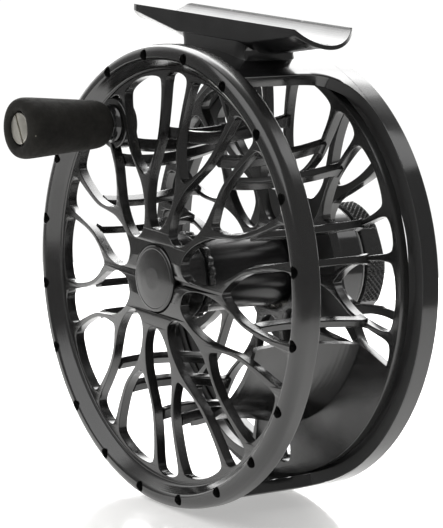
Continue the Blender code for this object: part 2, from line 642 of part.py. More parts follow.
def make_frame():
    """Ring, veined back plate, drag chamber, the two bridges and the foot's pedestal."""
    mesh = plate_mesh("frame", frame_plate_outlines(), PLATE_FRONT, RING_REAR + 0.2 * MM)
    frame = add_part("frame", mesh, AXIS, GLOSS_BLACK, 0.15, 0.5)
    hoop = ((FRAME_RADIUS, RING_FRONT + 0.1 * MM), (FRAME_RADIUS, RING_REAR),
            (RING_INNER, RING_REAR), (RING_INNER, -32.4 * MM), (FRAME_INNER, -32.4 * MM),
            (FRAME_INNER, RING_FRONT + 0.1 * MM))
    boolean(frame, add_cutter("hoop", turned_mesh("hoop", hoop, 60), AXIS), "UNION")
    tube = turned_mesh("bridges", ring(FRAME_INNER, FRAME_RADIUS, BRIDGE_FRONT, -32.0 * MM), 60)
    bridges = add_cutter("bridges", tube, AXIS)
    reach = 60.0 * MM
    for name, edge, side, bottom, top in (
            ("bridges_right", BRIDGE_HALF_WIDTH, 1.0, -reach, reach),
            ("upper_bridge_left", -BRIDGE_HALF_WIDTH, -1.0, -1.0 * MM, reach),
            ("lower_bridge_left", LOWER_BRIDGE_LEFT, -1.0, -reach, 0.0)):
        boolean(bridges, bridge_side_cutter(name, edge, side, bottom, top))
    boolean(frame, bridges, "UNION")
    pedestal = add_cutter("pedestal", pedestal_mesh(), AXIS)
    core = turned_mesh("pedestal_core", disc(FRAME_INNER + 1.0 * MM, 0.0, RING_REAR), 60)
    boolean(pedestal, add_cutter("pedestal_core", core, AXIS))
    boolean(frame, pedestal, "UNION")
    boss = turned_mesh("boss", disc(BOSS_RADIUS, PLATE_FRONT - 0.2 * MM, BOSS_REAR))
    boolean(frame, add_cutter("boss", boss, AXIS), "UNION")
    chamber = ((0.0, 0.0), (SPINDLE_RADIUS + 0.1 * MM, 0.0),
               (SPINDLE_RADIUS + 0.1 * MM, CHAMBER_FLOOR), (CHAMBER_RADIUS, CHAMBER_FLOOR),
               (CHAMBER_RADIUS, -50.0 * MM), (0.0, -50.0 * MM))
    boolean(frame, add_cutter("chamber", turned_mesh("chamber", chamber), AXIS))
    saddle = x_cylinder("saddle", underside_radius() + GAP, 60.0 * MM, 48)
    boolean(frame, add_cutter("saddle", saddle, AXIS))
    pin_hole = turned_mesh("pin_hole", disc(PAWL_PIN_RADIUS + 0.2 * MM, 0.0, -35.0 * MM), 12)
    boolean(frame, add_cutter("pin_hole", pin_hole, PAWL_AXIS))
    for side in (-1.0, 1.0):
        drill = up_drill(f"foot_drill_{side:+.0f}", side * FOOT_SCREW_X,
                         ((2.9 * MM, 40.0 * MM, 47.9 * MM), (1.7 * MM, 40.0 * MM, 53.0 * MM)))
        for cutter in drill:
            boolean(frame, cutter)
    return frame


def pedestal_mesh():
    """The block between the top bridge and the foot, as deep as the foot, spread at its root."""
    levels = ((44.0 * MM, 16.4 * MM, 8.9 * MM), (45.6 * MM, 14.2 * MM, 8.2 * MM),
              (47.0 * MM, 12.4 * MM, SADDLE_HALF_WIDTH), (49.0 * MM, 11.8 * MM, SADDLE_HALF_WIDTH),
              (53.0 * MM, 12.9 * MM, SADDLE_HALF_WIDTH))
    sections = []
    for height, half_x, half_z in levels:
        sections.append([(x, height, FOOT_DEPTH + z)
                         for x, z in rounded_rectangle(half_x, half_z, PEDESTAL_CORNER)])
    return loft_mesh("pedestal", sections)


def rounded_rectangle(half_x, half_z, corner, parts=3):
    """Points round a rectangle whose corners are quarter circles."""
    points = []
    for turn, (sign_x, sign_z) in enumerate(((1, 1), (-1, 1), (-1, -1), (1, -1))):
        for i in range(parts + 1):
            angle = math.radians(90.0 * (turn + i / parts))
            points.append((sign_x * (half_x - corner) + corner * math.cos(angle),
                           sign_z * (half_z - corner) + corner * math.sin(angle)))
    return points


def loft_mesh(name, sections):
    """Join sections of equal point counts with sides, and close both ends."""
    shape = bmesh.new()
    rings = [[shape.verts.new(point) for point in section] for section in sections]
    count = len(rings[0])
    for lower, upper in zip(rings, rings[1:]):
        for i in range(count):
            shape.faces.new((lower[i], lower[(i + 1) % count], upper[(i + 1) % count], upper[i]))
    shape.faces.new(rings[0])
    shape.faces.new(list(reversed(rings[-1])))
    bmesh.ops.recalc_face_normals(shape, faces=shape.faces)
    mesh = bpy.data.meshes.new(name)
    shape.to_mesh(mesh)
    shape.free()
    return mesh


def underside_radius():
    return (FOOT_HALF_WIDTH ** 2 + FOOT_UNDERSIDE_SAG ** 2) / (2.0 * FOOT_UNDERSIDE_SAG)


def x_cylinder(name, radius, length, segments):
    """A cylinder along X whose lowest line is the middle of the foot's underside."""
    shape = bmesh.new()
    turn = Matrix.Rotation(math.radians(90.0), 4, "Y")
    bmesh.ops.create_cone(shape, cap_ends=True, segments=segments, radius1=radius,
                          radius2=radius, depth=length, matrix=turn)
    height = FOOT_UNDERSIDE_EDGE - FOOT_UNDERSIDE_SAG + underside_radius()
    bmesh.ops.translate(shape, verts=shape.verts, vec=(0.0, height, FOOT_DEPTH))
    mesh = bpy.data.meshes.new(name)
    shape.to_mesh(mesh)
    shape.free()
    return mesh


def up_drill(name, x, steps):
    """Upright drills through the bridge at the foot's screws, one for each radius."""
    cutters = []
    for i, (radius, low, high) in enumerate(steps):
        shape = bmesh.new()
        turn = Matrix.Rotation(math.radians(90.0), 4, "X")
        bmesh.ops.create_cone(shape, cap_ends=True, segments=16, radius1=radius,
                              radius2=radius, depth=high - low, matrix=turn)
        bmesh.ops.translate(shape, verts=shape.verts, vec=(x, (low + high) / 2.0, FOOT_DEPTH))
        mesh = bpy.data.meshes.new(f"{name}_{i}")
        shape.to_mesh(mesh)
        shape.free()
        cutters.append(add_cutter(f"{name}_{i}", mesh, AXIS))
    return cutters


# ---------------------------------------------------------------- foot

def foot_section(x, count=10):
    """The foot's outline across the reel at x: trough on top, rounded underside."""
    trough = (FOOT_HALF_WIDTH ** 2 + FOOT_TROUGH ** 2) / (2.0 * FOOT_TROUGH)
    reach = abs(x)
    half = FOOT_HALF_WIDTH
    if reach > FOOT_HALF_LENGTH:
        end_radius = (FOOT_HALF_WIDTH ** 2 + FOOT_END_BULGE ** 2) / (2.0 * FOOT_END_BULGE)
        sagitta = FOOT_END_BULGE - (reach - FOOT_HALF_LENGTH)
        half = math.sqrt(max(end_radius ** 2 - (end_radius - sagitta) ** 2, 0.0))
    taper = max(reach - FOOT_MIDDLE_HALF, 0.0) / (FOOT_HALF_LENGTH - FOOT_MIDDLE_HALF)
    rise = min(taper, 1.0) * FOOT_TIP_RISE
    trough_middle = FOOT_TOP - FOOT_TROUGH + trough
    under_middle = FOOT_UNDERSIDE_EDGE - FOOT_UNDERSIDE_SAG + underside_radius() + rise
    top, under = [], []
    for i in range(count + 1):
        z = half * (1.0 - 2.0 * i / count)
        top.append((x, trough_middle - math.sqrt(trough ** 2 - z * z), FOOT_DEPTH + z))
        under.append((x, under_middle - math.sqrt(underside_radius() ** 2 - z * z),
                      FOOT_DEPTH + z))
    return top + list(reversed(under))


def make_foot():
    """The seat that a rod's hoods grip: a trough on top, ramps down to thin tips."""
    stations = [0.0, 0.35, 0.62, 0.85]
    tips = [FOOT_HALF_LENGTH + share * FOOT_END_BULGE for share in stations]
    ends = tips[::-1] + [FOOT_MIDDLE_HALF]
    lengths = [-x for x in ends] + ends[::-1]
    mesh = loft_mesh("reel_foot", [foot_section(x) for x in lengths])
    foot = add_part("reel_foot", mesh, AXIS, ANODISED, 0.3, 0.6)
    for side in (-1.0, 1.0):
        name = f"foot_thread_{side:+.0f}"
        for cutter in up_drill(name, side * FOOT_SCREW_X, ((1.7 * MM, 45.0 * MM, 52.0 * MM),)):
            boolean(foot, cutter)
    for name, side in (("foot_screw_left", -1.0), ("foot_screw_right", 1.0)):
        profile = ((0.0, 51.6 * MM), (1.4 * MM, 51.6 * MM), (1.4 * MM, 47.5 * MM),
                   (2.6 * MM, 47.5 * MM), (2.6 * MM, 45.7 * MM), (1.2 * MM, 45.7 * MM),
                   (1.2 * MM, 46.7 * MM), (0.0, 46.7 * MM))
        screw = turned_mesh(name, profile, 16)
        screw.transform(Matrix.Translation((side * FOOT_SCREW_X, 0.0, FOOT_DEPTH))
                        @ Matrix.Rotation(math.radians(-90.0), 4, "X"))
        add_part(name, screw, AXIS, STEEL, 0.3, 1.0)


# ---------------------------------------------------------------- drag knob

def knob_outline():
    """The knob's edge: plain scallops between raised bands."""
    points = []
    per_scallop = 8
    for i in range(KNOB_SCALLOPS * per_scallop):
        share = (i % per_scallop) / per_scallop
        dip = KNOB_SCALLOP_DEPTH if 0.45 < share < 0.95 else 0.0
        points.append(on_circle(KNOB_RADIUS - dip, 360.0 * i / (KNOB_SCALLOPS * per_scallop)))
    return points


def make_knob():
    """Drag knob, its adjusting nut on the spindle, and the parts between it and the frame."""
    knob = add_part("drag_knob", plate_mesh("drag_knob", [knob_outline()], KNOB_FRONT, KNOB_REAR),
                    AXIS, GLOSS_BLACK, 0.35, 0.7)
    sleeve = disc(8.1 * MM, -38.0 * MM, KNOB_FRONT - 0.6 * MM)
    boolean(knob, add_cutter("knob_sleeve", turned_mesh("knob_sleeve", sleeve, 32), AXIS), "UNION")
    hollow = ((0.0, -30.0 * MM), (6.8 * MM, -30.0 * MM), (6.8 * MM, -45.3 * MM),
              (SPINDLE_RADIUS + GAP, -45.3 * MM), (SPINDLE_RADIUS + GAP, KNOB_RECESS),
              (5.4 * MM, KNOB_RECESS), (5.4 * MM, -60.0 * MM), (0.0, -60.0 * MM))
    boolean(knob, add_cutter("knob_hollow", turned_mesh("knob_hollow", hollow, 32), AXIS))
    make_ring_part("drag_nut", SPINDLE_RADIUS + GAP, 6.5 * MM, -38.4 * MM, -40.6 * MM,
                   (0.5, 0.33, 0.16), 0.4, 1.0, steps=32)
    cover = add_part("chamber_cover", turned_mesh("chamber_cover",
                     ring(8.4 * MM, CHAMBER_RADIUS - GAP, COVER_FRONT, COVER_REAR)), AXIS,
                     (0.45, 0.45, 0.46), 0.4, 1.0)
    detent_axis = make_empty("detent_axis", (DETENT_RADIUS, 0.0, 0.0), AXIS)
    seat = turned_mesh("detent_seat", disc(0.95 * MM, -41.9 * MM, -45.0 * MM), 12)
    boolean(cover, add_cutter("detent_seat", seat, detent_axis))
    make_ring_part("detent_spring", 0.3 * MM, 0.65 * MM, -42.1 * MM, -42.7 * MM, STEEL, 0.3, 1.0,
                   detent_axis, 12)
    ball = bmesh.new()
    bmesh.ops.create_uvsphere(ball, u_segments=12, v_segments=8, radius=0.62 * MM)
    bmesh.ops.translate(ball, verts=ball.verts, vec=(0.0, 0.0, -43.65 * MM))
    ball_mesh = bpy.data.meshes.new("detent_ball")
    ball.to_mesh(ball_mesh)
    ball.free()
    add_part("detent_ball", ball_mesh, detent_axis, STEEL, 0.15, 1.0)
    make_ring_part("knob_washer", 11.7 * MM, 13.1 * MM, -43.9 * MM, -44.3 * MM,
                   (0.55, 0.55, 0.55), 0.4, 0.5)
    make_slotted_screw("knob_screw", 5.0 * MM, -49.45 * MM, -48.4 * MM, 1.6 * MM, -43.9 * MM,
                       AXIS, 25.0, rearward=True)


make_spool_face()
make_spool_back()
make_release_cap()
make_ring_part("cap_spring", 3.6 * MM, 5.6 * MM, 0.7 * MM, 0.2 * MM, STEEL, 0.3, 1.0,
               steps=SMALL_STEPS)
make_ring_part("latch_ring", 3.3 * MM, 6.0 * MM, -1.2 * MM, -1.9 * MM, STEEL, 0.3, 1.0,
               steps=SMALL_STEPS)
make_handle()
make_drag_hub()
toothed_ring("drive_ring", 24, 9.0 * MM, 9.5 * MM, HUB_TUBE_RADIUS + GAP, -5.6 * MM, -7.0 * MM,
             (0.1, 0.1, 0.1), 0.35)
toothed_ring("click_gear", CLICK_TEETH, CLICK_ROOT, CLICK_TIP, HUB_STEP_RADIUS + GAP, CLICK_FRONT,
             CLICK_REAR, STEEL, 0.3)
make_drag()
make_spindle()
make_click()
make_frame()
make_foot()
make_knob()
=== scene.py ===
"""Looks for the fly reel: fine shapes, finishes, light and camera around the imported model.

Shapes are made in the reel's own space, in millimetres: +X to the right, +Y up to the foot
and +Z out of the front face. Z = 0 is the front plane of the spool's rim. PLACE turns that
space upright and puts it in the model's frame, in metres.
"""
import math

import bmesh
import bpy
from mathutils import Matrix, Vector


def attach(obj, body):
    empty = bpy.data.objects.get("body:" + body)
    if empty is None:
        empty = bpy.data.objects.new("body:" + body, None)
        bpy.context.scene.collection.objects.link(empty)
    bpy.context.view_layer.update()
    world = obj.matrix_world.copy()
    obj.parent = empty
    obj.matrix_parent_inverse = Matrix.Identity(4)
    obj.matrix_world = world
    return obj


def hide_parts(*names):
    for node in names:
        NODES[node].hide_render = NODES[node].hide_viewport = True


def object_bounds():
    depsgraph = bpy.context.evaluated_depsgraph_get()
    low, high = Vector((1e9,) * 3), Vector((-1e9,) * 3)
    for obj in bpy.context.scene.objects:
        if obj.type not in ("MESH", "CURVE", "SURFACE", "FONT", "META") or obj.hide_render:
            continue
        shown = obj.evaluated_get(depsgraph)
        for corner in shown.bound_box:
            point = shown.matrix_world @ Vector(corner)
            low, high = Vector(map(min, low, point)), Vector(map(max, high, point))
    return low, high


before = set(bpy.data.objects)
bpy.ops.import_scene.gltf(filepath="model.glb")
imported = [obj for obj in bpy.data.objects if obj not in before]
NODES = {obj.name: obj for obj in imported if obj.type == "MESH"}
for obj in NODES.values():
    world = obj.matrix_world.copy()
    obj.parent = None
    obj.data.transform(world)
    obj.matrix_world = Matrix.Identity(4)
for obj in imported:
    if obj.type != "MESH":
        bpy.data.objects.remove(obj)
CAD_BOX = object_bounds()


def polar(radius, degrees):
    angle = math.radians(degrees)
    return (radius * math.cos(angle), radius * math.sin(angle))


MM = 0.001
FOOT_Z = -17.4
AXIS_HEIGHT = 52.65
# The reel's axis in the model's frame: x and z, in metres.
REEL_AXIS = (0.0, -AXIS_HEIGHT * MM)
PLACE = (Matrix.Translation((0.0, FOOT_Z * MM, -AXIS_HEIGHT * MM))
         @ Matrix.Rotation(math.radians(90.0), 4, "X") @ Matrix.Scale(MM, 4))

RIM = 50.0
RIM_HOLES = 20
VEINS = 10
VEIN_STEP = 360.0 / VEINS
VEIN_PHASE = 1.0
HANDLE = polar(38.55, 128.3)
PAWL = polar(14.6, 205.0)

# The solid sector that balances the handle: its middle and half its width, in degrees.
WEIGHT_ANGLE = -47.25
WEIGHT_HALF = 28.75

# Half outlines of the windows: share of the rim's radius, and degrees beside the middle line.
KEYHOLE = ((0.212, 0.0), (0.222, 8.5), (0.26, 13.6), (0.33, 15.3), (0.42, 13.2),
           (0.50, 9.5), (0.60, 6.0), (0.72, 5.3), (0.84, 5.2), (0.872, 3.6), (0.88, 0.0))
PETAL = ((0.455, 0.0), (0.485, 4.2), (0.53, 7.6), (0.60, 10.0), (0.70, 10.8),
         (0.82, 10.3), (0.862, 8.2), (0.875, 0.0))
WEIGHT_BULB = ((0.212, 0.0), (0.222, 8.5), (0.26, 13.6), (0.33, 15.3), (0.42, 13.2),
               (0.50, 9.5), (0.56, 5.5), (0.58, 0.0))
SLIT_HALF = 2.9
WEIGHT_SLIT = ((0.64, 0.0), (0.66, 2.0), (0.72, SLIT_HALF), (0.80, SLIT_HALF), (0.845, 2.2),
               (0.86, 0.0))
FRAME_PETAL = ((0.50, 0.0), (0.53, 3.8), (0.60, 7.6), (0.70, 9.6), (0.80, 9.6),
               (0.838, 7.4), (0.85, 0.0))
FRAME_WINDOW = ((0.34, 0.0), (0.345, 20.0), (0.38, 27.0), (0.46, 29.0), (0.56, 26.0),
                (0.70, 23.2), (0.80, 22.6), (0.838, 20.0), (0.85, 0.0))


# ---------------------------------------------------------------- mesh tools

def circle(radius, count=160, middle=(0.0, 0.0)):
    points = [polar(radius, 360.0 * i / count) for i in range(count)]
    return [(middle[0] + x, middle[1] + y) for x, y in points]


def curve_span(before, start, end, after, pieces):
    """The points of a Catmull-Rom curve from start up to end, without end."""
    span = []
    for step in range(pieces):
        t = step / pieces
        span.append(tuple(
            0.5 * (2.0 * b + (c - a) * t + (2.0 * a - 5.0 * b + 4.0 * c - d) * t * t
                   + (3.0 * b - a - 3.0 * c + d) * t * t * t)
            for a, b, c, d in zip(before, start, end, after)))
    return span


def smooth_loop(points, pieces):
    """A closed smooth curve through the points."""
    loop = []
    count = len(points)
    for i in range(count):
        loop += curve_span(*(points[(i + k) % count] for k in (-1, 0, 1, 2)), pieces)
    return loop


def smooth_line(points, pieces):
    """An open smooth curve through the points, ends included."""
    padded = [points[0], *points, points[-1]]
    line = []
    for i in range(len(points) - 1):
        line += curve_span(*padded[i:i + 4], pieces)
    line.append(tuple(points[-1]))
    return line


def soften(points, radius, closed=False, parts=3):
    """Round each corner of a line of points; an open line keeps its two ends."""
    count = len(points)
    line = []
    for i, corner in enumerate(points):
        if not closed and i in (0, count - 1):
            line.append(tuple(corner))
            continue
        here = Vector(corner)
        before, after = Vector(points[i - 1]) - here, Vector(points[(i + 1) % count]) - here
        cut = min(radius, 0.45 * before.length, 0.45 * after.length)
        start, end = here + before.normalized() * cut, here + after.normalized() * cut
        for k in range(parts + 1):
            t = k / parts
            line.append(tuple(start * (1 - t) ** 2 + here * 2 * t * (1 - t) + end * t ** 2))
    return line


def to_mesh(shape, name="shape"):
    bmesh.ops.recalc_face_normals(shape, faces=shape.faces)
    mesh = bpy.data.meshes.new(name)
    shape.to_mesh(mesh)
    shape.free()
    return mesh


def turned(profile, steps=128, radius_at=None):
    """Turn (radius, z) points about Z. A profile off the axis at both ends closes on itself.

    radius_at(radius, z, angle) may change the radius as the shape goes round.
    """
    shape = bmesh.new()
    poles = {i: shape.verts.new((0.0, 0.0, z)) for i, (r, z) in enumerate(profile) if r < 1e-6}
    rows = []
    for step in range(steps):
        angle = math.tau * step / steps
        c, s = math.cos(angle), math.sin(angle)
        row = []
        for i, (r, z) in enumerate(profile):
            if i in poles:
                row.append(poles[i])
                continue
            here = radius_at(r, z, angle) if radius_at else r
            row.append(shape.verts.new((here * c, here * s, z)))
        rows.append(row)
    spans = [(i, i + 1) for i in range(len(profile) - 1)]
    if not poles:
        spans.append((len(profile) - 1, 0))
    for step in range(steps):
        row, after = rows[step], rows[(step + 1) % steps]
        for i, j in spans:
            corners = [row[i], row[j], after[j], after[i]]
            unique = list(dict.fromkeys(corners))
            if len(unique) > 2:
                shape.faces.new(unique)
    return to_mesh(shape, "turned")


def loft(sections, name="loft"):
    """Join sections of equal point counts, and close both ends."""
    shape = bmesh.new()
    rings = [[shape.verts.new(p) for p in section] for section in sections]
    count = len(rings[0])
    for lower, upper in zip(rings, rings[1:]):
        for i in range(count):
            shape.faces.new((lower[i], lower[(i + 1) % count], upper[(i + 1) % count], upper[i]))
    shape.faces.new(rings[0])
    shape.faces.new(list(reversed(rings[-1])))
    return to_mesh(shape, name)


def moved(mesh, matrix):
    mesh.transform(matrix)
    return mesh


def at(mesh, x, y, z=0.0):
    return moved(mesh, Matrix.Translation((x, y, z)))


def joined(*meshes):
    """Several meshes as one, each still a body of its own."""
    shape = bmesh.new()
    for mesh in meshes:
        shape.from_mesh(mesh)
    return to_mesh(shape, "joined")


def new_object(name, data):
    made = bpy.data.objects.new(name, data)
    bpy.context.scene.collection.objects.link(made)
    return made


def from_object(holder, weld=0.0001):
    """The mesh that a helper object makes; the helper itself is removed."""
    bpy.context.view_layer.update()
    seen = holder.evaluated_get(bpy.context.evaluated_depsgraph_get())
    mesh = bpy.data.meshes.new_from_object(seen)
    bpy.data.objects.remove(holder, do_unlink=True)
    shape = bmesh.new()
    shape.from_mesh(mesh)
    bmesh.ops.remove_doubles(shape, verts=shape.verts, dist=weld)
    return to_mesh(shape, "evaluated")


def plate(outlines, front, rear, edge=0.2):
    """A flat plate with rounded edges. The first outline is its edge, the rest are windows."""
    curve = bpy.data.curves.new("plate", "CURVE")
    curve.dimensions = "2D"
    curve.fill_mode = "BOTH"
    curve.extrude = (front - rear) / 2.0 - edge
    curve.bevel_depth = edge
    curve.bevel_resolution = 1
    curve.offset = -edge
    for outline in outlines:
        spline = curve.splines.new("POLY")
        spline.points.add(len(outline) - 1)
        for point, (x, y) in zip(spline.points, outline):
            point.co = (x, y, 0.0, 1.0)
        spline.use_cyclic_u = True
    mesh = from_object(new_object("holder", curve), weld=0.0005)
    return at(mesh, 0.0, 0.0, (front + rear) / 2.0)


def combine(mesh, other, operation="UNION"):
    """Add another closed mesh to this one, or take it away."""
    first, second = new_object("holder", mesh), new_object("tool", other)
    modifier = first.modifiers.new("cut", "BOOLEAN")
    modifier.operation = operation
    modifier.solver = "EXACT"
    modifier.object = second
    result = from_object(first)
    bpy.data.objects.remove(second, do_unlink=True)
    return result


def piece(name, mesh, material, body, *nodes, slot=None, sharp=40.0):
    """Place a finished mesh in the model's frame, on its body, in its CAD nodes' stead."""
    mesh.transform(PLACE)
    mesh.name = name
    mesh.materials.clear()
    mesh.materials.append(material)
    made = new_object(name, mesh)
    mesh.shade_smooth()
    mesh.set_sharp_from_angle(angle=math.radians(sharp))
    weighted = made.modifiers.new("normals", "WEIGHTED_NORMAL")
    weighted.keep_sharp = True
    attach(made, body)
    if nodes:
        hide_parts(*nodes)
    return made


# ---------------------------------------------------------------- finishes

def shader_of(name):
    material = bpy.data.materials.new(name)
    material.use_nodes = True
    tree = material.node_tree
    return material, tree, tree.nodes["Principled BSDF"]


def link(tree, source, target):
    tree.links.new(source, target)


def place_on(tree):
    """The place on the object, in metres."""
    return tree.nodes.new("ShaderNodeTexCoord").outputs["Object"]


def compute(tree, operation, *values):
    """A Math node; each value is a number or another node's output."""
    node = tree.nodes.new("ShaderNodeMath")
    node.operation = operation
    for socket, value in zip(node.inputs, values):
        if isinstance(value, float):
            socket.default_value = value
        else:
            link(tree, value, socket)
    return node.outputs[0]


def noise(tree, scale, detail=4.0, roughness=0.55):
    """Noise with about this many cells in a metre."""
    texture = tree.nodes.new("ShaderNodeTexNoise")
    texture.inputs["Scale"].default_value = scale
    texture.inputs["Detail"].default_value = detail
    texture.inputs["Roughness"].default_value = roughness
    link(tree, place_on(tree), texture.inputs["Vector"])
    return texture.outputs["Fac"]


def cells(tree, scale):
    """A Voronoi texture with about this many cells in a metre."""
    texture = tree.nodes.new("ShaderNodeTexVoronoi")
    texture.inputs["Scale"].default_value = scale
    link(tree, place_on(tree), texture.inputs["Vector"])
    return texture


def ramp(tree, source, low, high, start=0.35, end=0.65):
    """Map a texture onto a range of values."""
    node = tree.nodes.new("ShaderNodeMapRange")
    node.inputs["From Min"].default_value = start
    node.inputs["From Max"].default_value = end
    node.inputs["To Min"].default_value = low
    node.inputs["To Max"].default_value = high
    link(tree, source, node.inputs["Value"])
    return node.outputs["Result"]


def tint(tree, source, dark, light, start=0.35, end=0.65):
    """Map a texture onto the colours between dark and light."""
    node = tree.nodes.new("ShaderNodeValToRGB")
    node.color_ramp.elements[0].position = start
    node.color_ramp.elements[0].color = (*dark, 1.0)
    node.color_ramp.elements[1].position = end
    node.color_ramp.elements[1].color = (*light, 1.0)
    link(tree, source, node.inputs["Fac"])
    return node.outputs["Color"]


def bump(tree, shader, heights):
    """Chain bumps: each is (height source, strength, distance in metres)."""
    last = None
    for source, strength, distance in heights:
        node = tree.nodes.new("ShaderNodeBump")
        node.inputs["Strength"].default_value = strength
        node.inputs["Distance"].default_value = distance
        link(tree, source, node.inputs["Height"])
        if last:
            link(tree, last, node.inputs["Normal"])
        last = node.outputs["Normal"]
    link(tree, last, shader.inputs["Normal"])


def turning_marks(tree, pitch, centre=REEL_AXIS):
    """Fine rings about an axis along Y, as a cutting tool leaves them; pitch is in metres."""
    split = tree.nodes.new("ShaderNodeSeparateXYZ")
    link(tree, place_on(tree), split.inputs["Vector"])
    squares = []
    for axis, middle in zip("XZ", centre):
        away = compute(tree, "SUBTRACT", split.outputs[axis], middle)
        squares.append(compute(tree, "MULTIPLY", away, away))
    radius = compute(tree, "SQRT", compute(tree, "ADD", *squares))
    return compute(tree, "SINE", compute(tree, "MULTIPLY", radius, math.tau / pitch))


def front_facing(tree):
    """1 on faces that look to the front, 0 on all others; only for a piece that never turns."""
    face = tree.nodes.new("ShaderNodeNewGeometry")
    split = tree.nodes.new("ShaderNodeSeparateXYZ")
    link(tree, face.outputs["Normal"], split.inputs["Vector"])
    return compute(tree, "LESS_THAN", split.outputs["Y"], -0.6)


def anodised(name, dark, light, rough_low, rough_high, specular=0.5, grain=0.25, marks=0.0,
             front_matt=0.0):
    """Anodised aluminium: faint blotches, a fine etched grain, and tool marks if asked.

    front_matt is how much rougher the faces are that look to the front.
    """
    material, tree, shader = shader_of(name)
    blotch = noise(tree, 60.0, 5.0)
    link(tree, tint(tree, blotch, dark, light), shader.inputs["Base Color"])
    smudge = noise(tree, 130.0, 6.0, 0.65)
    roughness = ramp(tree, smudge, rough_low, rough_high)
    shader.inputs["Specular IOR Level"].default_value = specular
    shader.inputs["IOR"].default_value = 1.8
    if front_matt:
        roughness = compute(tree, "MULTIPLY_ADD", front_facing(tree), front_matt, roughness)
    link(tree, roughness, shader.inputs["Roughness"])
    heights = [(noise(tree, 5200.0, 2.0), grain, 0.00001)]
    if marks:
        heights.append((turning_marks(tree, 0.00028), marks, 0.000006))
    bump(tree, shader, heights)
    return material


def machined(name, color, rough_low, rough_high, centre=REEL_AXIS):
    """Bare turned metal with fine rings and a brushed sheen."""
    material, tree, shader = shader_of(name)
    blotch = noise(tree, 220.0, 4.0)
    darker = tuple(c * 0.82 for c in color)
    link(tree, tint(tree, blotch, darker, color), shader.inputs["Base Color"])
    shader.inputs["Metallic"].default_value = 1.0
    smudge = noise(tree, 900.0, 5.0, 0.6)
    link(tree, ramp(tree, smudge, rough_low, rough_high), shader.inputs["Roughness"])
    bump(tree, shader, [(turning_marks(tree, 0.00022, centre), 0.35, 0.000008),
                        (noise(tree, 7000.0, 2.0), 0.15, 0.000006)])
    return material


def grip_finish():
    """Matt black grip: a moulded skin with fine pits and a few pale specks of dust."""
    material, tree, shader = shader_of("grip_black")
    pits = cells(tree, 2600.0)
    specks = cells(tree, 520.0)
    blotch = noise(tree, 240.0, 6.0)
    base = tint(tree, blotch, (0.0145, 0.0138, 0.0122), (0.0245, 0.0232, 0.0205))
    mix = tree.nodes.new("ShaderNodeMix")
    mix.data_type = "RGBA"
    near = ramp(tree, specks.outputs["Distance"], 1.0, 0.0, 0.05, 0.10)
    split = tree.nodes.new("ShaderNodeSeparateColor")
    link(tree, specks.outputs["Color"], split.inputs["Color"])
    rare = compute(tree, "GREATER_THAN", split.outputs["Red"], 0.86)
    link(tree, compute(tree, "MULTIPLY", near, rare), mix.inputs["Factor"])
    link(tree, base, mix.inputs["A"])
    mix.inputs["B"].default_value = (0.22, 0.21, 0.18, 1.0)
    link(tree, mix.outputs["Result"], shader.inputs["Base Color"])
    link(tree, ramp(tree, noise(tree, 900.0), 0.82, 0.96), shader.inputs["Roughness"])
    shader.inputs["Specular IOR Level"].default_value = 0.3
    bump(tree, shader, [(noise(tree, 500.0, 5.0), 0.35, 0.00008),
                        (pits.outputs["Distance"], 0.6, 0.00006)])
    return material


def carbon_finish():
    """Woven carbon friction disc: squares of two tones, as crossing threads show."""
    material, tree, shader = shader_of("carbon")
    checker = tree.nodes.new("ShaderNodeTexChecker")
    checker.inputs["Scale"].default_value = 1400.0
    checker.inputs["Color1"].default_value = (0.035, 0.035, 0.037, 1.0)
    checker.inputs["Color2"].default_value = (0.012, 0.012, 0.013, 1.0)
    link(tree, place_on(tree), checker.inputs["Vector"])
    link(tree, checker.outputs["Color"], shader.inputs["Base Color"])
    link(tree, ramp(tree, checker.outputs["Fac"], 0.42, 0.62, 0.0, 1.0),
         shader.inputs["Roughness"])
    bump(tree, shader, [(checker.outputs["Fac"], 0.4, 0.00003),
                        (noise(tree, 4000.0), 0.3, 0.00001)])
    return material


SATIN = anodised("anodised_black", (0.0095, 0.0095, 0.0093), (0.0145, 0.0143, 0.0138), 0.15, 0.23,
                 marks=0.25)
TUBE_BLACK = anodised("tube_black", (0.008, 0.008, 0.0082), (0.0105, 0.0105, 0.0107), 0.22, 0.26,
                      specular=0.3, grain=0.1, marks=0.0)
GLOSS = anodised("gloss_black", (0.008, 0.008, 0.0082), (0.012, 0.012, 0.0122), 0.10, 0.16,
                 grain=0.05)
HOOP_BLACK = anodised("hoop_black", (0.008, 0.008, 0.0082), (0.012, 0.012, 0.0122), 0.10, 0.16,
                      grain=0.05, front_matt=0.45)
FOOT_BLACK = anodised("foot_black", (0.010, 0.010, 0.0105), (0.015, 0.015, 0.0155), 0.16, 0.24,
                      specular=0.4, grain=0.12)
KNOB_BLACK = anodised("knob_black", (0.012, 0.012, 0.0122), (0.018, 0.018, 0.018), 0.24, 0.34,
                      grain=0.2, marks=0.2)
DRIVE_BLACK = anodised("drive_black", (0.02, 0.02, 0.02), (0.045, 0.045, 0.044), 0.22, 0.34)
STEEL = machined("steel", (0.62, 0.61, 0.58), 0.20, 0.34)
SCREW_STEEL = machined("screw_steel", (0.66, 0.64, 0.58), 0.28, 0.42,
                       centre=(HANDLE[0] * MM, (HANDLE[1] - AXIS_HEIGHT) * MM))
SPRING_STEEL = machined("spring_steel", (0.5, 0.5, 0.49), 0.18, 0.3)
BRONZE = machined("bronze", (0.55, 0.36, 0.17), 0.3, 0.45)
PALE = anodised("washer_grey", (0.36, 0.36, 0.36), (0.46, 0.46, 0.45), 0.35, 0.5)
GRIP = grip_finish()
CARBON = carbon_finish()


# ---------------------------------------------------------------- spool

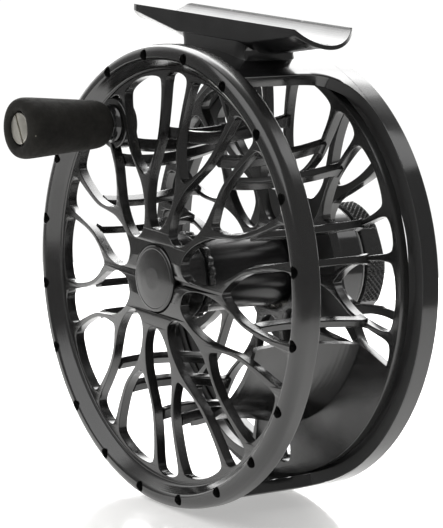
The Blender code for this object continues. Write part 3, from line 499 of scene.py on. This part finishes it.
def window(half, middle_angle, pieces=6):
    """A window's smooth outline from its half outline, mirrored about the middle angle."""
    right = [(radius, -angle) for radius, angle in half]
    left = [(radius, angle) for radius, angle in reversed(half[1:-1])]
    corners = [polar(radius * RIM, middle_angle + angle) for radius, angle in right + left]
    return smooth_loop(corners, pieces)


def veined(radius, skip=()):
    """A disc's outline and its windows; skip lists the angles that stay solid."""
    outlines = [circle(radius, 240)]
    for i in range(VEINS):
        stem = VEIN_PHASE + VEIN_STEP * i
        gap = stem + VEIN_STEP / 2.0
        if stem not in skip:
            outlines.append(window(PETAL, stem))
        if gap not in skip:
            outlines.append(window(KEYHOLE, gap))
    return outlines


FACE_THICKNESS = 2.3
BAR_REAR = -29.0


def face_depth(radius):
    """The height of the dished front face: flat in the middle, then a cone down to the rim."""
    middle_height, drop = 2.75, 4.75
    flat_radius, cone_width = 9.0, 33.5
    share = min(max((radius - flat_radius) / cone_width, 0.0), 1.0)
    return middle_height - drop * share


def spool_front():
    """Dished front flange in one with its rim, hub sleeve and the pad under the handle."""
    mesh = plate(veined(45.4), 0.0, -FACE_THICKNESS)
    for vertex in mesh.vertices:
        vertex.co.z += face_depth(math.hypot(vertex.co.x, vertex.co.y))
    rim = soften([(47.2, 1.02), (48.5, 0.98), (49.6, 0.25), (50.0, -1.2), (50.0, -4.35),
                  (44.3, -4.35), (44.3, -1.75), (45.0, -1.65), (45.35, -1.3), (46.75, 0.7)],
                 0.55, closed=True, parts=4)
    rim = turned(rim, 288)
    drills = []
    for i in range(RIM_HOLES):
        x, y = polar(47.85, 119.1 + 360.0 / RIM_HOLES * i)
        drill = [(0.0, 4.0), (1.6, 4.0), (1.6, 1.35), (1.2, 0.85), (1.2, -6.0), (0.0, -6.0)]
        drills.append(at(turned(drill, 24), x, y))
    rim = combine(rim, joined(*drills), "DIFFERENCE")
    mesh = combine(mesh, rim)
    sleeve = turned(soften([(0.0, 1.2), (9.3, 1.2), (9.3, -4.6), (0.0, -4.6)], 0.3), 128)
    mesh = combine(mesh, sleeve)
    pad = turned(soften([(0.0, -1.2), (5.6, -1.2), (5.6, -4.25), (0.0, -4.25)], 0.35), 96)
    mesh = combine(mesh, at(pad, *HANDLE))
    hollow = turned(soften([(0.0, 4.0), (7.9, 4.0), (7.9, 2.7), (7.5, 2.45), (7.5, -0.1),
                            (2.0, -0.1), (2.0, -0.9), (6.8, -0.9), (6.8, -6.0), (0.0, -6.0)],
                           0.15), 128)
    mesh = combine(mesh, hollow, "DIFFERENCE")
    bore = turned([(0.0, 1.0), (2.3, 1.0), (2.3, -6.0), (0.0, -6.0)], 48)
    return combine(mesh, at(bore, *HANDLE), "DIFFERENCE")


def rounded_box(half_x, half_y, corner, parts=4):
    """A rectangle's outline with rounded corners, about the origin."""
    box = [(half_x, half_y), (-half_x, half_y), (-half_x, -half_y), (half_x, -half_y)]
    return soften(box, corner, closed=True, parts=parts)


# The arbor's outer line from the front flange to the rear one: height and radius.
ARBOR_LINE = smooth_line([(-1.0, 32.6), (-5.0, 31.9), (-10.0, 31.6), (-15.0, 31.9), (-20.0, 32.6),
                          (-24.0, 33.4), (-27.0, 34.2), (-28.6, 34.6)], 6)


def arbor_radius(z):
    """The line bed's radius: it swells towards the rear flange and runs into it in a fillet."""
    for (z0, r0), (z1, r1) in zip(ARBOR_LINE, ARBOR_LINE[1:]):
        if z >= z1:
            return r0 + (r1 - r0) * min(max((z - z0) / (z1 - z0), 0.0), 1.0)
    return ARBOR_LINE[-1][1]


def arbor_bar(angle, front, rear):
    """A flat bar between the flanges, spread where it runs into the rear one."""
    sections = []
    turn = Matrix.Rotation(math.radians(angle), 3, "Z")
    steps = 28
    thickness, most_inner_radius = 2.6, 31.6
    half_width, spread, spread_height = 0.85, 0.3, 1.4
    for i in range(steps + 1):
        height = front + (rear - front) * (0.5 - 0.5 * math.cos(math.pi * i / steps))
        flare = spread * max(0.0, 1.0 - (height - rear) / spread_height) ** 2
        outer = arbor_radius(height)
        inner = min(outer - thickness, most_inner_radius)
        middle, half = (outer + inner) / 2.0, (outer - inner) / 2.0
        sections.append([turn @ Vector((middle + x, y, height))
                         for x, y in rounded_box(half, half_width + flare, 0.4)])
    return loft(sections)


def weight_shell(front, rear):
    """The thin wall that closes the arbor over the solid sector."""
    count, steps = 72, 24
    wall, most_inner_radius = 1.1, 33.3
    heights = [front + (rear - front) * k / steps for k in range(steps + 1)]
    outer = [(arbor_radius(z), z) for z in heights]
    inner = [(min(r - wall, most_inner_radius), z) for r, z in reversed(outer)]
    sections = []
    for i in range(count + 1):
        angle = WEIGHT_ANGLE - WEIGHT_HALF + 2.0 * WEIGHT_HALF * i / count
        sections.append([(*polar(r, angle), z) for r, z in outer + inner])
    return loft(sections)


def weight_web(outer, inner):
    """The outline of the solid sector's plate between two radii."""
    steps = 72
    across = [2.0 * WEIGHT_HALF * i / steps for i in range(steps + 1)]
    return ([polar(outer, WEIGHT_ANGLE - WEIGHT_HALF + degrees) for degrees in across]
            + [polar(inner, WEIGHT_ANGLE + WEIGHT_HALF - degrees) for degrees in across])


def spool_back():
    """Rear flange, the arbor's bars and the solid sector that balances the handle."""
    stems = [VEIN_PHASE + VEIN_STEP * i for i in (8, 9)]
    gap = stems[0] + VEIN_STEP / 2.0
    slit = WEIGHT_ANGLE - WEIGHT_HALF - SLIT_HALF
    outlines = veined(45.6, skip=(*stems, gap))
    outlines += [window(WEIGHT_BULB, gap), window(WEIGHT_SLIT, slit), circle(9.2, 96)]
    mesh = plate(outlines, -28.2, -30.5)
    mesh = combine(mesh, plate([weight_web(45.2, 32.2)], -28.25, -30.45))
    front = face_depth(33.2) - FACE_THICKNESS + 0.25
    mesh = combine(mesh, weight_shell(front, BAR_REAR))
    bars = []
    for i in range(VEINS):
        for beside in (-11.6, 11.6):
            angle = VEIN_PHASE + VEIN_STEP * i + beside
            away = abs((angle - WEIGHT_ANGLE + 180.0) % 360.0 - 180.0)
            if away > WEIGHT_HALF:
                bars.append(arbor_bar(angle, front, BAR_REAR))
    return combine(mesh, joined(*bars))


def release_cap():
    """Smooth domed button in the hub, with a shallow groove round its edge."""
    profile = [(0.0, 3.2), (2.4, 3.18), (4.6, 3.06), (6.2, 2.92), (6.35, 2.84), (6.5, 2.9),
               (7.0, 2.8), (7.2, 2.55), (7.2, 1.9), (1.6, 1.9), (1.6, -1.7), (0.0, -1.7)]
    return turned(soften(profile, 0.12), 160)


piece("spool_front_flange", spool_front(), SATIN, "spool_body", "spool_face", slot="anodised_black")
piece("spool_rear_flange", spool_back(), SATIN, "spool_body", "spool_back", slot="anodised_black")
piece("spool_release_cap", release_cap(), SATIN, "cap_body", "release_cap", slot="anodised_black")


# ---------------------------------------------------------------- handle

def slotted_head(head, front, seat, shank, tip, slot_angle, width=0.55, depth=0.6):
    """A screw: head and shank are radii; front, seat and tip are heights along its axis."""
    profile = soften([(0.0, front), (head, front), (head, seat), (shank, seat), (shank, tip),
                      (0.0, tip)], 0.22)
    mesh = turned(profile, 96)
    slot = loft([[(x, y, z) for x, y in rounded_box(head * 1.6, width / 2.0, 0.02, 1)]
                 for z in (front - depth, front + 2.0)])
    return combine(mesh, moved(slot, Matrix.Rotation(math.radians(slot_angle), 4, "Z")),
                   "DIFFERENCE")


def handle_grip():
    """Hollow tapered grip, open in front for the screw's head, with a rounded lip."""
    outer = smooth_line([(5.6, 23.15), (6.2, 22.75), (6.55, 21.9), (6.63, 20.6), (6.42, 17.5),
                         (6.1, 13.5), (5.65, 7.7), (5.4, 4.4), (5.05, 2.5), (4.4, 1.35)], 6)
    lip = [(3.9, 22.7), (4.2, 23.1), (4.8, 23.25)]
    bore = [(4.1, 1.2), (3.6, 1.2), (3.6, 20.4), (3.9, 20.7)]
    return turned(lip + outer + bore, 128)


piece("crank_grip", at(handle_grip(), *HANDLE), GRIP, "handle_body", "handle_grip",
      slot="grip_black", sharp=60.0)
piece("crank_screw", at(slotted_head(3.45, 22.6, 20.9, 1.0, 14.0, 120.0), *HANDLE), SCREW_STEEL,
      "spool_body", "handle_screw", slot="steel")
collar = soften([(3.7, 0.8), (3.75, 0.2), (4.0, -0.45), (4.3, -0.9), (2.3, -0.9), (2.3, 0.8)],
                0.15, closed=True)
piece("crank_collar", at(turned(collar, 96), *HANDLE), GLOSS, "spool_body", "handle_collar",
      slot="anodised_black")
post = soften([(0.0, 13.0), (1.3, 13.0), (1.3, 20.6), (2.0, 20.6), (2.0, -4.0), (0.0, -4.0)], 0.1)
piece("crank_post", at(turned(post, 64), *HANDLE), STEEL, "spool_body", "handle_post",
      slot="steel")


# ---------------------------------------------------------------- hub

def hub():
    """The thin tube in the middle, with a narrow nose and a step behind for the click gear."""
    profile = [(5.3, -2.2), (6.5, -2.2), (6.5, -5.4), (8.15, -5.4), (8.15, -31.0), (7.5, -31.0),
               (7.5, -32.6), (6.6, -32.6), (6.6, -6.4), (3.6, -6.4), (3.6, -5.3), (5.3, -5.3)]
    return turned(soften(profile, 0.25, closed=True), 160)


def toothed(teeth, root, tip, inner, front, rear):
    """A ring with blunt teeth outside, between root and tip radius, and a round bore."""
    outline = []
    pitch = 360.0 / teeth
    for i in range(teeth):
        for radius, share in ((root, -0.42), (tip, -0.14), (tip, 0.14), (root, 0.42)):
            outline.append(polar(radius, pitch * i + share * pitch))
    rounded = soften(outline, 0.12, closed=True, parts=2)
    return plate([rounded, circle(inner, 96)], front, rear, edge=0.08)


piece("drag_hub_tube", hub(), TUBE_BLACK, "hub_body", "drag_hub", slot="gloss_black")
piece("hub_drive_ring", toothed(24, 9.0, 9.5, 8.45, -5.6, -7.0), DRIVE_BLACK, "hub_body",
      "drive_ring", slot="drive_black")
piece("hub_click_gear", toothed(32, 9.7, 10.4, 7.8, -31.3, -32.5), STEEL, "hub_body",
      "click_gear", slot="steel")


# ---------------------------------------------------------------- frame

HOOP_OUTER = 48.95
HOOP_INNER = 46.2

# A bridge's edge as it runs back into the ring: half its width, and height.
BRIDGE_HALF = 19.0
FLARE = ((BRIDGE_HALF, -5.0), (BRIDGE_HALF, -14.0), (19.05, -20.5), (19.6, -24.5), (21.2, -27.3),
         (24.3, -29.7), (29.0, -31.0), (36.0, -31.38), (44.0, -31.42))

# The underside of the foot's middle is part of a cylinder along X.
FOOT_HALF = 7.4
UNDER_LOW = 51.5
UNDER_RISE = 2.75
UNDER_RADIUS = (FOOT_HALF ** 2 + UNDER_RISE ** 2) / (2.0 * UNDER_RISE)
UNDER_MIDDLE = UNDER_LOW - UNDER_RISE + UNDER_RADIUS


def bridge_section(left, right):
    """A bridge's section between two angles from the foot's line: angles and radii."""
    edge = 0.35
    turn = edge / 47.5
    chamfer = 0.29
    steps = 48
    width = right - left - 2 * turn
    section = [(left + turn + width * k / steps, HOOP_OUTER) for k in range(steps + 1)]
    section += [(right - turn * chamfer, HOOP_OUTER - edge * chamfer), (right, HOOP_OUTER - edge),
                (right, HOOP_INNER + edge), (right - turn * chamfer, HOOP_INNER + edge * chamfer)]
    section += [(right - turn - width * k / steps, HOOP_INNER) for k in range(steps + 1)]
    section += [(left + turn * chamfer, HOOP_INNER + edge * chamfer), (left, HOOP_INNER + edge),
                (left, HOOP_OUTER - edge), (left + turn * chamfer, HOOP_OUTER - edge * chamfer)]
    return section


def bridge(up, left_shift):
    """One band of the frame that runs from the ring to the front, spread where it leaves it.

    up is 1 for the band under the foot and -1 for the lowest one. The left edge is moved to
    the right by left_shift.
    """
    line = smooth_line(FLARE, 8)
    front = FLARE[0][1]
    line = [(BRIDGE_HALF - 0.35, front), (BRIDGE_HALF, front - 0.35)] + line[2:]
    sections = []
    for half, height in [*line, (44.0, -31.9)]:
        left = -math.asin((half - left_shift) / HOOP_OUTER)
        right = math.asin(half / HOOP_OUTER)
        sections.append([(r * math.sin(a), up * r * math.cos(a), height)
                         for a, r in bridge_section(left, right)])
    return loft(sections)


def hoop():
    """The frame's outer ring, stepped inside where the bridges leave it."""
    profile = soften([(HOOP_OUTER, -31.35), (HOOP_OUTER, -35.7), (44.6, -35.7), (44.6, -32.4),
                      (HOOP_INNER, -32.4), (HOOP_INNER, -31.35)], 0.3, closed=True)
    return turned(profile, 288)


def pedestal():
    """The block under the foot, as deep as the foot, with a hollow spread at its root."""
    levels = smooth_line([(44.0, 17.2, 9.3), (45.0, 15.3, 8.8), (45.9, 13.9, 8.1),
                          (46.8, 12.7, 7.55), (47.7, 12.0, 7.4), (49.0, 11.7, 7.4),
                          (50.3, 11.9, 7.4), (51.6, 12.5, 7.4), (53.0, 13.3, 7.4)], 3)
    sections = []
    for height, half_x, half_z in levels:
        sections.append([(x, height, FOOT_Z + z)
                         for x, z in rounded_box(half_x, half_z, 3.0, 8)])
    core = turned([(0.0, 0.0), (47.2, 0.0), (47.2, -35.0), (0.0, -35.0)], 192)
    return combine(loft(sections), core, "DIFFERENCE")


def under_cylinder(radius):
    """The round space that the foot's underside fills, a little larger than the foot."""
    cylinder = turned([(0.0, 60.0), (radius, 60.0), (radius, -60.0), (0.0, -60.0)], 192)
    turn = Matrix.Rotation(math.radians(90.0), 4, "Y")
    return at(moved(cylinder, turn), 0.0, UNDER_MIDDLE, FOOT_Z)


def upright(profile, x, y, steps=48):
    """Turn a profile about a line that runs up to the foot."""
    mesh = turned(profile, steps)
    turn = Matrix.Rotation(math.radians(-90.0), 4, "X")
    return moved(mesh, Matrix.Translation((x, y, FOOT_Z)) @ turn)


FOOT_SCREWS = {"foot_screw_left": -8.5, "foot_screw_right": 8.5}


def frame_shape():
    """Veined back plate, ring, bridges and pedestal, with the housing of the drag."""
    outlines = [circle(45.6, 240)]
    groups = 5
    for i in range(groups):
        stem = 54.0 + 360.0 / groups * i
        outlines.append(window(FRAME_PETAL, stem, 8))
        outlines.append(window(FRAME_WINDOW, stem + 180.0 / groups, 8))
    mesh = plate(outlines, -33.0, -35.5, 0.25)
    mesh = combine(mesh, hoop())
    mesh = combine(mesh, bridge(1.0, 0.0))
    # The lowest band reaches only from the middle to the right.
    mesh = combine(mesh, bridge(-1.0, BRIDGE_HALF))
    mesh = combine(mesh, pedestal())
    boss = turned(soften([(0.0, -33.2), (13.5, -33.2), (13.5, -43.6), (0.0, -43.6)], 0.35), 160)
    mesh = combine(mesh, boss)
    chamber = turned([(0.0, 0.0), (3.1, 0.0), (3.1, -34.6), (11.3, -34.6), (11.3, -43.3),
                      (11.6, -43.7), (11.6, -50.0), (0.0, -50.0)], 128)
    mesh = combine(mesh, chamber, "DIFFERENCE")
    mesh = combine(mesh, under_cylinder(UNDER_RADIUS + 0.03), "DIFFERENCE")
    pin = turned([(0.0, 0.0), (1.0, 0.0), (1.0, -35.0), (0.0, -35.0)], 32)
    mesh = combine(mesh, at(pin, *PAWL), "DIFFERENCE")
    for x in FOOT_SCREWS.values():
        drill = upright([(0.0, 13.0), (1.7, 13.0), (1.7, 7.9), (2.9, 7.9), (2.9, 0.0), (0.0, 0.0)],
                        x, 40.0)
        mesh = combine(mesh, drill, "DIFFERENCE")
    return mesh


piece("frame_body_shell", frame_shape(), HOOP_BLACK, "frame_body", "frame", slot="gloss_black",
      sharp=35.0)


# ---------------------------------------------------------------- foot

TAPER_START = 13.0
TAPER_LENGTH = 16.9
TAPER_END = 29.9
TIP_LENGTH = 3.0


def foot_section(x):
    """The foot's outline across the reel at x, with its edges rounded."""
    edge_height, trough_depth, taper_rise = 55.9, 3.25, 3.0
    trough = (FOOT_HALF ** 2 + trough_depth ** 2) / (2.0 * trough_depth)
    reach = abs(x)
    half = FOOT_HALF
    if reach > TAPER_END:
        end = (FOOT_HALF ** 2 + TIP_LENGTH ** 2) / (2.0 * TIP_LENGTH)
        sagitta = TIP_LENGTH - (reach - TAPER_END)
        half = math.sqrt(max(end ** 2 - (end - sagitta) ** 2, 0.01))
    rise = min(max(reach - TAPER_START, 0.0) / TAPER_LENGTH, 1.0) * taper_rise
    trough_middle = edge_height - trough_depth + trough
    under_middle = UNDER_MIDDLE + rise
    top, under = [], []
    steps = 28
    for i in range(steps + 1):
        z = half * (1.0 - 2.0 * i / steps)
        top.append((trough_middle - math.sqrt(trough ** 2 - z * z), FOOT_Z + z))
        under.append((under_middle - math.sqrt(UNDER_RADIUS ** 2 - z * z), FOOT_Z + z))
    corners = soften(top + list(reversed(under)), 0.14, closed=True, parts=2)
    return [(x, y, z) for y, z in corners]


def foot_shape():
    """The foot from tip to tip, with the holes for its two screws."""
    tip = [TAPER_END + TIP_LENGTH * math.sin(math.radians(a))
           for a in (0, 12, 24, 36, 48, 60, 70, 78, 84)]
    taper = [TAPER_START + TAPER_LENGTH * i / 14 for i in range(2, 14)]
    lengths = [0.0, 6.5, 12.4, TAPER_START, 13.5, *taper, *tip]
    lengths = [-x for x in reversed(lengths[1:])] + lengths
    mesh = loft([foot_section(x) for x in lengths])
    for x in FOOT_SCREWS.values():
        drill = upright([(0.0, 12.0), (1.7, 12.0), (1.7, 5.0), (0.0, 5.0)], x, 40.0)
        mesh = combine(mesh, drill, "DIFFERENCE")
    return mesh


piece("reel_foot_seat", foot_shape(), FOOT_BLACK, "frame_body", "reel_foot",
      slot="anodised_black", sharp=50.0)
for name, side in FOOT_SCREWS.items():
    screw = soften([(0.0, 51.6), (1.4, 51.6), (1.4, 47.5), (2.6, 47.5), (2.6, 45.7), (1.2, 45.7),
                    (1.2, 46.7), (0.0, 46.7)], 0.15)
    piece(name + "_turned", upright(screw, side, 0.0, 48), STEEL, "frame_body", name, slot="steel")


# ---------------------------------------------------------------- knob

KNOB_RADIUS = 13.8
KNOB_FRONT = -44.6
KNOB_REAR = -49.7
KNOB_BANDS = 5
KNURL_SHARE = 0.59
SCALLOP_START = 0.6


def knob_edge(radius, z, angle):
    """The knob's radius at a place: knurled bands with plain shallow scallops between them."""
    plain_radius, pitch = 12.7, 1.25
    if radius < plain_radius:
        return radius
    share = ((angle - math.radians(41.0)) / math.tau * KNOB_BANDS) % 1.0
    dip = 0.0
    if SCALLOP_START < share < 1.0:
        dip = 0.45 * math.sin((share - SCALLOP_START) / (1.0 - SCALLOP_START) * math.pi) ** 0.6
    knurl = 0.0
    if share < KNURL_SHARE and -49.4 < z < -44.85:
        u, v = angle * KNOB_RADIUS / pitch, (z - KNOB_FRONT) / pitch
        first = abs(((u + v) % 1.0) - 0.5) * 2.0
        second = abs(((u - v) % 1.0) - 0.5) * 2.0
        knurl = 0.5 * (1.0 - max(first, second)) ** 0.8
        fade = min(share, KNURL_SHARE - share) / 0.02
        knurl *= min(max(fade, 0.0), 1.0)
    return radius - dip * (radius - plain_radius) / 1.1 - knurl


def knob_shape():
    """Drag knob, hollow in front, with a recess for its screw behind."""
    rows = 36
    top = [(8.1, KNOB_FRONT), (12.6, KNOB_FRONT), (13.2, KNOB_FRONT), (13.65, KNOB_FRONT - 0.12)]
    side = [(KNOB_RADIUS, KNOB_FRONT - 0.35 - (4.4 * i / rows)) for i in range(rows + 1)]
    back = [(13.65, KNOB_REAR + 0.2), (13.3, KNOB_REAR), (12.6, KNOB_REAR), (6.2, KNOB_REAR),
            (5.5, KNOB_REAR + 0.12), (5.4, KNOB_REAR + 0.4), (5.4, -48.1), (3.3, -48.1)]
    hollow = [(3.3, -45.3), (6.8, -45.3), (6.8, -38.2), (7.0, -38.0), (7.9, -38.0), (8.1, -38.2)]
    return turned(top + side + back + hollow, 960, knob_edge)


piece("drag_knob_grip", knob_shape(), KNOB_BLACK, "knob_body", "drag_knob", slot="knob_black",
      sharp=38.0)
knob_screw = moved(slotted_head(5.0, 49.45, 48.4, 1.6, 43.9, 25.0, 0.7, 0.55),
                   Matrix.Rotation(math.radians(180.0), 4, "X"))
piece("knob_centre_screw", knob_screw, STEEL, "frame_body", "knob_screw", slot="steel")
washer = soften([(13.1, -43.9), (13.1, -44.3), (11.7, -44.3), (11.7, -43.9)], 0.1, closed=True)
piece("knob_rear_washer", turned(washer, 160), PALE, "frame_body", "knob_washer",
      slot="washer_grey")
pin = soften([(0.0, -31.4), (0.8, -31.4), (0.8, -34.6), (0.0, -34.6)], 0.1)
piece("pawl_pin_turned", at(turned(pin, 48), *PAWL), STEEL, "frame_body", "pawl_pin", slot="steel")


# ---------------------------------------------------------------- carried-over parts

# These keep their CAD shape and only get a finish.
KEPT = {STEEL: ("front_bearing", "rear_bearing", "pressure_plate", "hub_spacer", "spindle",
                "steel_disc_1", "steel_disc_2", "steel_disc_3", "click_pawl", "one_way_clutch",
                "latch_ring", "detent_ball", "chamber_cover"),
        SPRING_STEEL: ("cap_spring", "detent_spring", "pawl_spring", "thrust_spring"),
        BRONZE: ("drag_nut", "handle_bushing_front", "handle_bushing_back"),
        CARBON: ("carbon_disc_1", "carbon_disc_2", "carbon_disc_3")}
for material, names in KEPT.items():
    for name in names:
        mesh = NODES[name].data
        mesh.materials.clear()
        mesh.materials.append(material)
        mesh.shade_smooth()
        mesh.set_sharp_from_angle(angle=math.radians(35.0))


# ---------------------------------------------------------------- stage

def floor():
    """Round pale glossy table that the reel stands on."""
    shape = bmesh.new()
    bmesh.ops.create_circle(shape, cap_ends=True, segments=128, radius=0.28)
    mesh = to_mesh(shape, "table")
    made = new_object("table", mesh)
    made.location = (0.0, 0.0, CAD_BOX[0].z)
    material, tree, shader = shader_of("table_white")
    link(tree, tint(tree, noise(tree, 14.0, 3.0), (0.90, 0.895, 0.885), (0.93, 0.925, 0.915)),
         shader.inputs["Base Color"])
    link(tree, ramp(tree, noise(tree, 40.0), 0.10, 0.16), shader.inputs["Roughness"])
    shader.inputs["Emission Color"].default_value = (1.0, 0.995, 0.985, 1.0)
    shader.inputs["Emission Strength"].default_value = 0.38
    mesh.materials.append(material)


def sky():
    """Dim room with a white backdrop behind the reel; the camera itself sees only white."""
    world = bpy.data.worlds.new("studio")
    bpy.context.scene.world = world
    world.use_nodes = True
    tree = world.node_tree
    tree.nodes.clear()
    out = tree.nodes.new("ShaderNodeOutputWorld")
    place = tree.nodes.new("ShaderNodeTexCoord")
    dot = tree.nodes.new("ShaderNodeVectorMath")
    dot.operation = "DOT_PRODUCT"
    dot.inputs[1].default_value = Vector((-0.80, 0.58, 0.1)).normalized()
    link(tree, place.outputs["Generated"], dot.inputs[0])
    shade = tree.nodes.new("ShaderNodeMapRange")
    shade.interpolation_type = "SMOOTHSTEP"
    shade.inputs["From Min"].default_value = 0.35
    shade.inputs["From Max"].default_value = 0.9
    shade.inputs["To Min"].default_value = 0.22
    shade.inputs["To Max"].default_value = 2.0
    link(tree, dot.outputs["Value"], shade.inputs["Value"])
    lit = tree.nodes.new("ShaderNodeBackground")
    lit.inputs["Color"].default_value = (1.0, 0.995, 0.985, 1.0)
    link(tree, shade.outputs["Result"], lit.inputs["Strength"])
    seen = tree.nodes.new("ShaderNodeBackground")
    seen.inputs["Color"].default_value = (1.0, 1.0, 0.995, 1.0)
    seen.inputs["Strength"].default_value = 1.05
    path = tree.nodes.new("ShaderNodeLightPath")
    mix = tree.nodes.new("ShaderNodeMixShader")
    link(tree, path.outputs["Is Camera Ray"], mix.inputs["Fac"])
    link(tree, lit.outputs["Background"], mix.inputs[1])
    link(tree, seen.outputs["Background"], mix.inputs[2])
    link(tree, mix.outputs["Shader"], out.inputs["Surface"])


REEL_MIDDLE = (0.0, 0.0, -0.05)


def softbox(name, where, size, power):
    """A rectangular lamp that looks at the reel; sizes in metres, power in watts."""
    light = bpy.data.lights.new(name, "AREA")
    light.shape = "RECTANGLE"
    light.size, light.size_y = size
    light.energy = power
    made = new_object(name, light)
    made.location = where
    toward = Vector(REEL_MIDDLE) - Vector(where)
    made.rotation_euler = toward.to_track_quat("-Z", "Y").to_euler()


def camera():
    """The camera: where it stands about the rim's front centre, and which way it looks."""
    around, above = math.radians(55.7565), math.radians(10.6773)
    distance = 11.449 * RIM * MM
    look, tilt, roll = math.radians(54.5173), math.radians(10.3454), math.radians(1.9846)
    focal_pixels, picture_height, sensor = 2669.08, 528.0, 36.0
    centre = Vector((0.0, FOOT_Z * MM, -AXIS_HEIGHT * MM))
    where = centre + distance * Vector((math.sin(around) * math.cos(above),
                                        -math.cos(around) * math.cos(above), math.sin(above)))
    back = Vector((math.sin(look) * math.cos(tilt), -math.cos(look) * math.cos(tilt),
                   math.sin(tilt)))
    right = Vector((math.cos(look), math.sin(look), 0.0))
    up = back.cross(right)
    level, rise = (right * math.cos(roll) + up * math.sin(roll),
                   up * math.cos(roll) - right * math.sin(roll))
    data = bpy.data.cameras.new("camera")
    data.sensor_fit = "AUTO"
    data.sensor_width = sensor
    data.lens = focal_pixels / picture_height * sensor
    data.clip_start, data.clip_end = 0.01, 20.0
    made = new_object("camera", data)
    turn = Matrix((level, rise, back)).transposed()
    made.matrix_world = Matrix.Translation(where) @ turn.to_4x4()
    bpy.context.scene.camera = made


floor()
sky()
softbox("softbox_back_left", (-0.75, 0.47, 0.42), (1.0, 0.85), 8.4)
softbox("softbox_back_high", (-0.33, 0.62, 0.74), (0.30, 0.26), 0.4)
softbox("softbox_over_front", (0.05, -0.60, 0.85), (1.4, 1.0), 6.0)
softbox("softbox_back_right", (0.31, 0.60, 0.73), (0.28, 0.30), 0.37)
camera()
bpy.context.scene.view_settings.view_transform = "Standard"
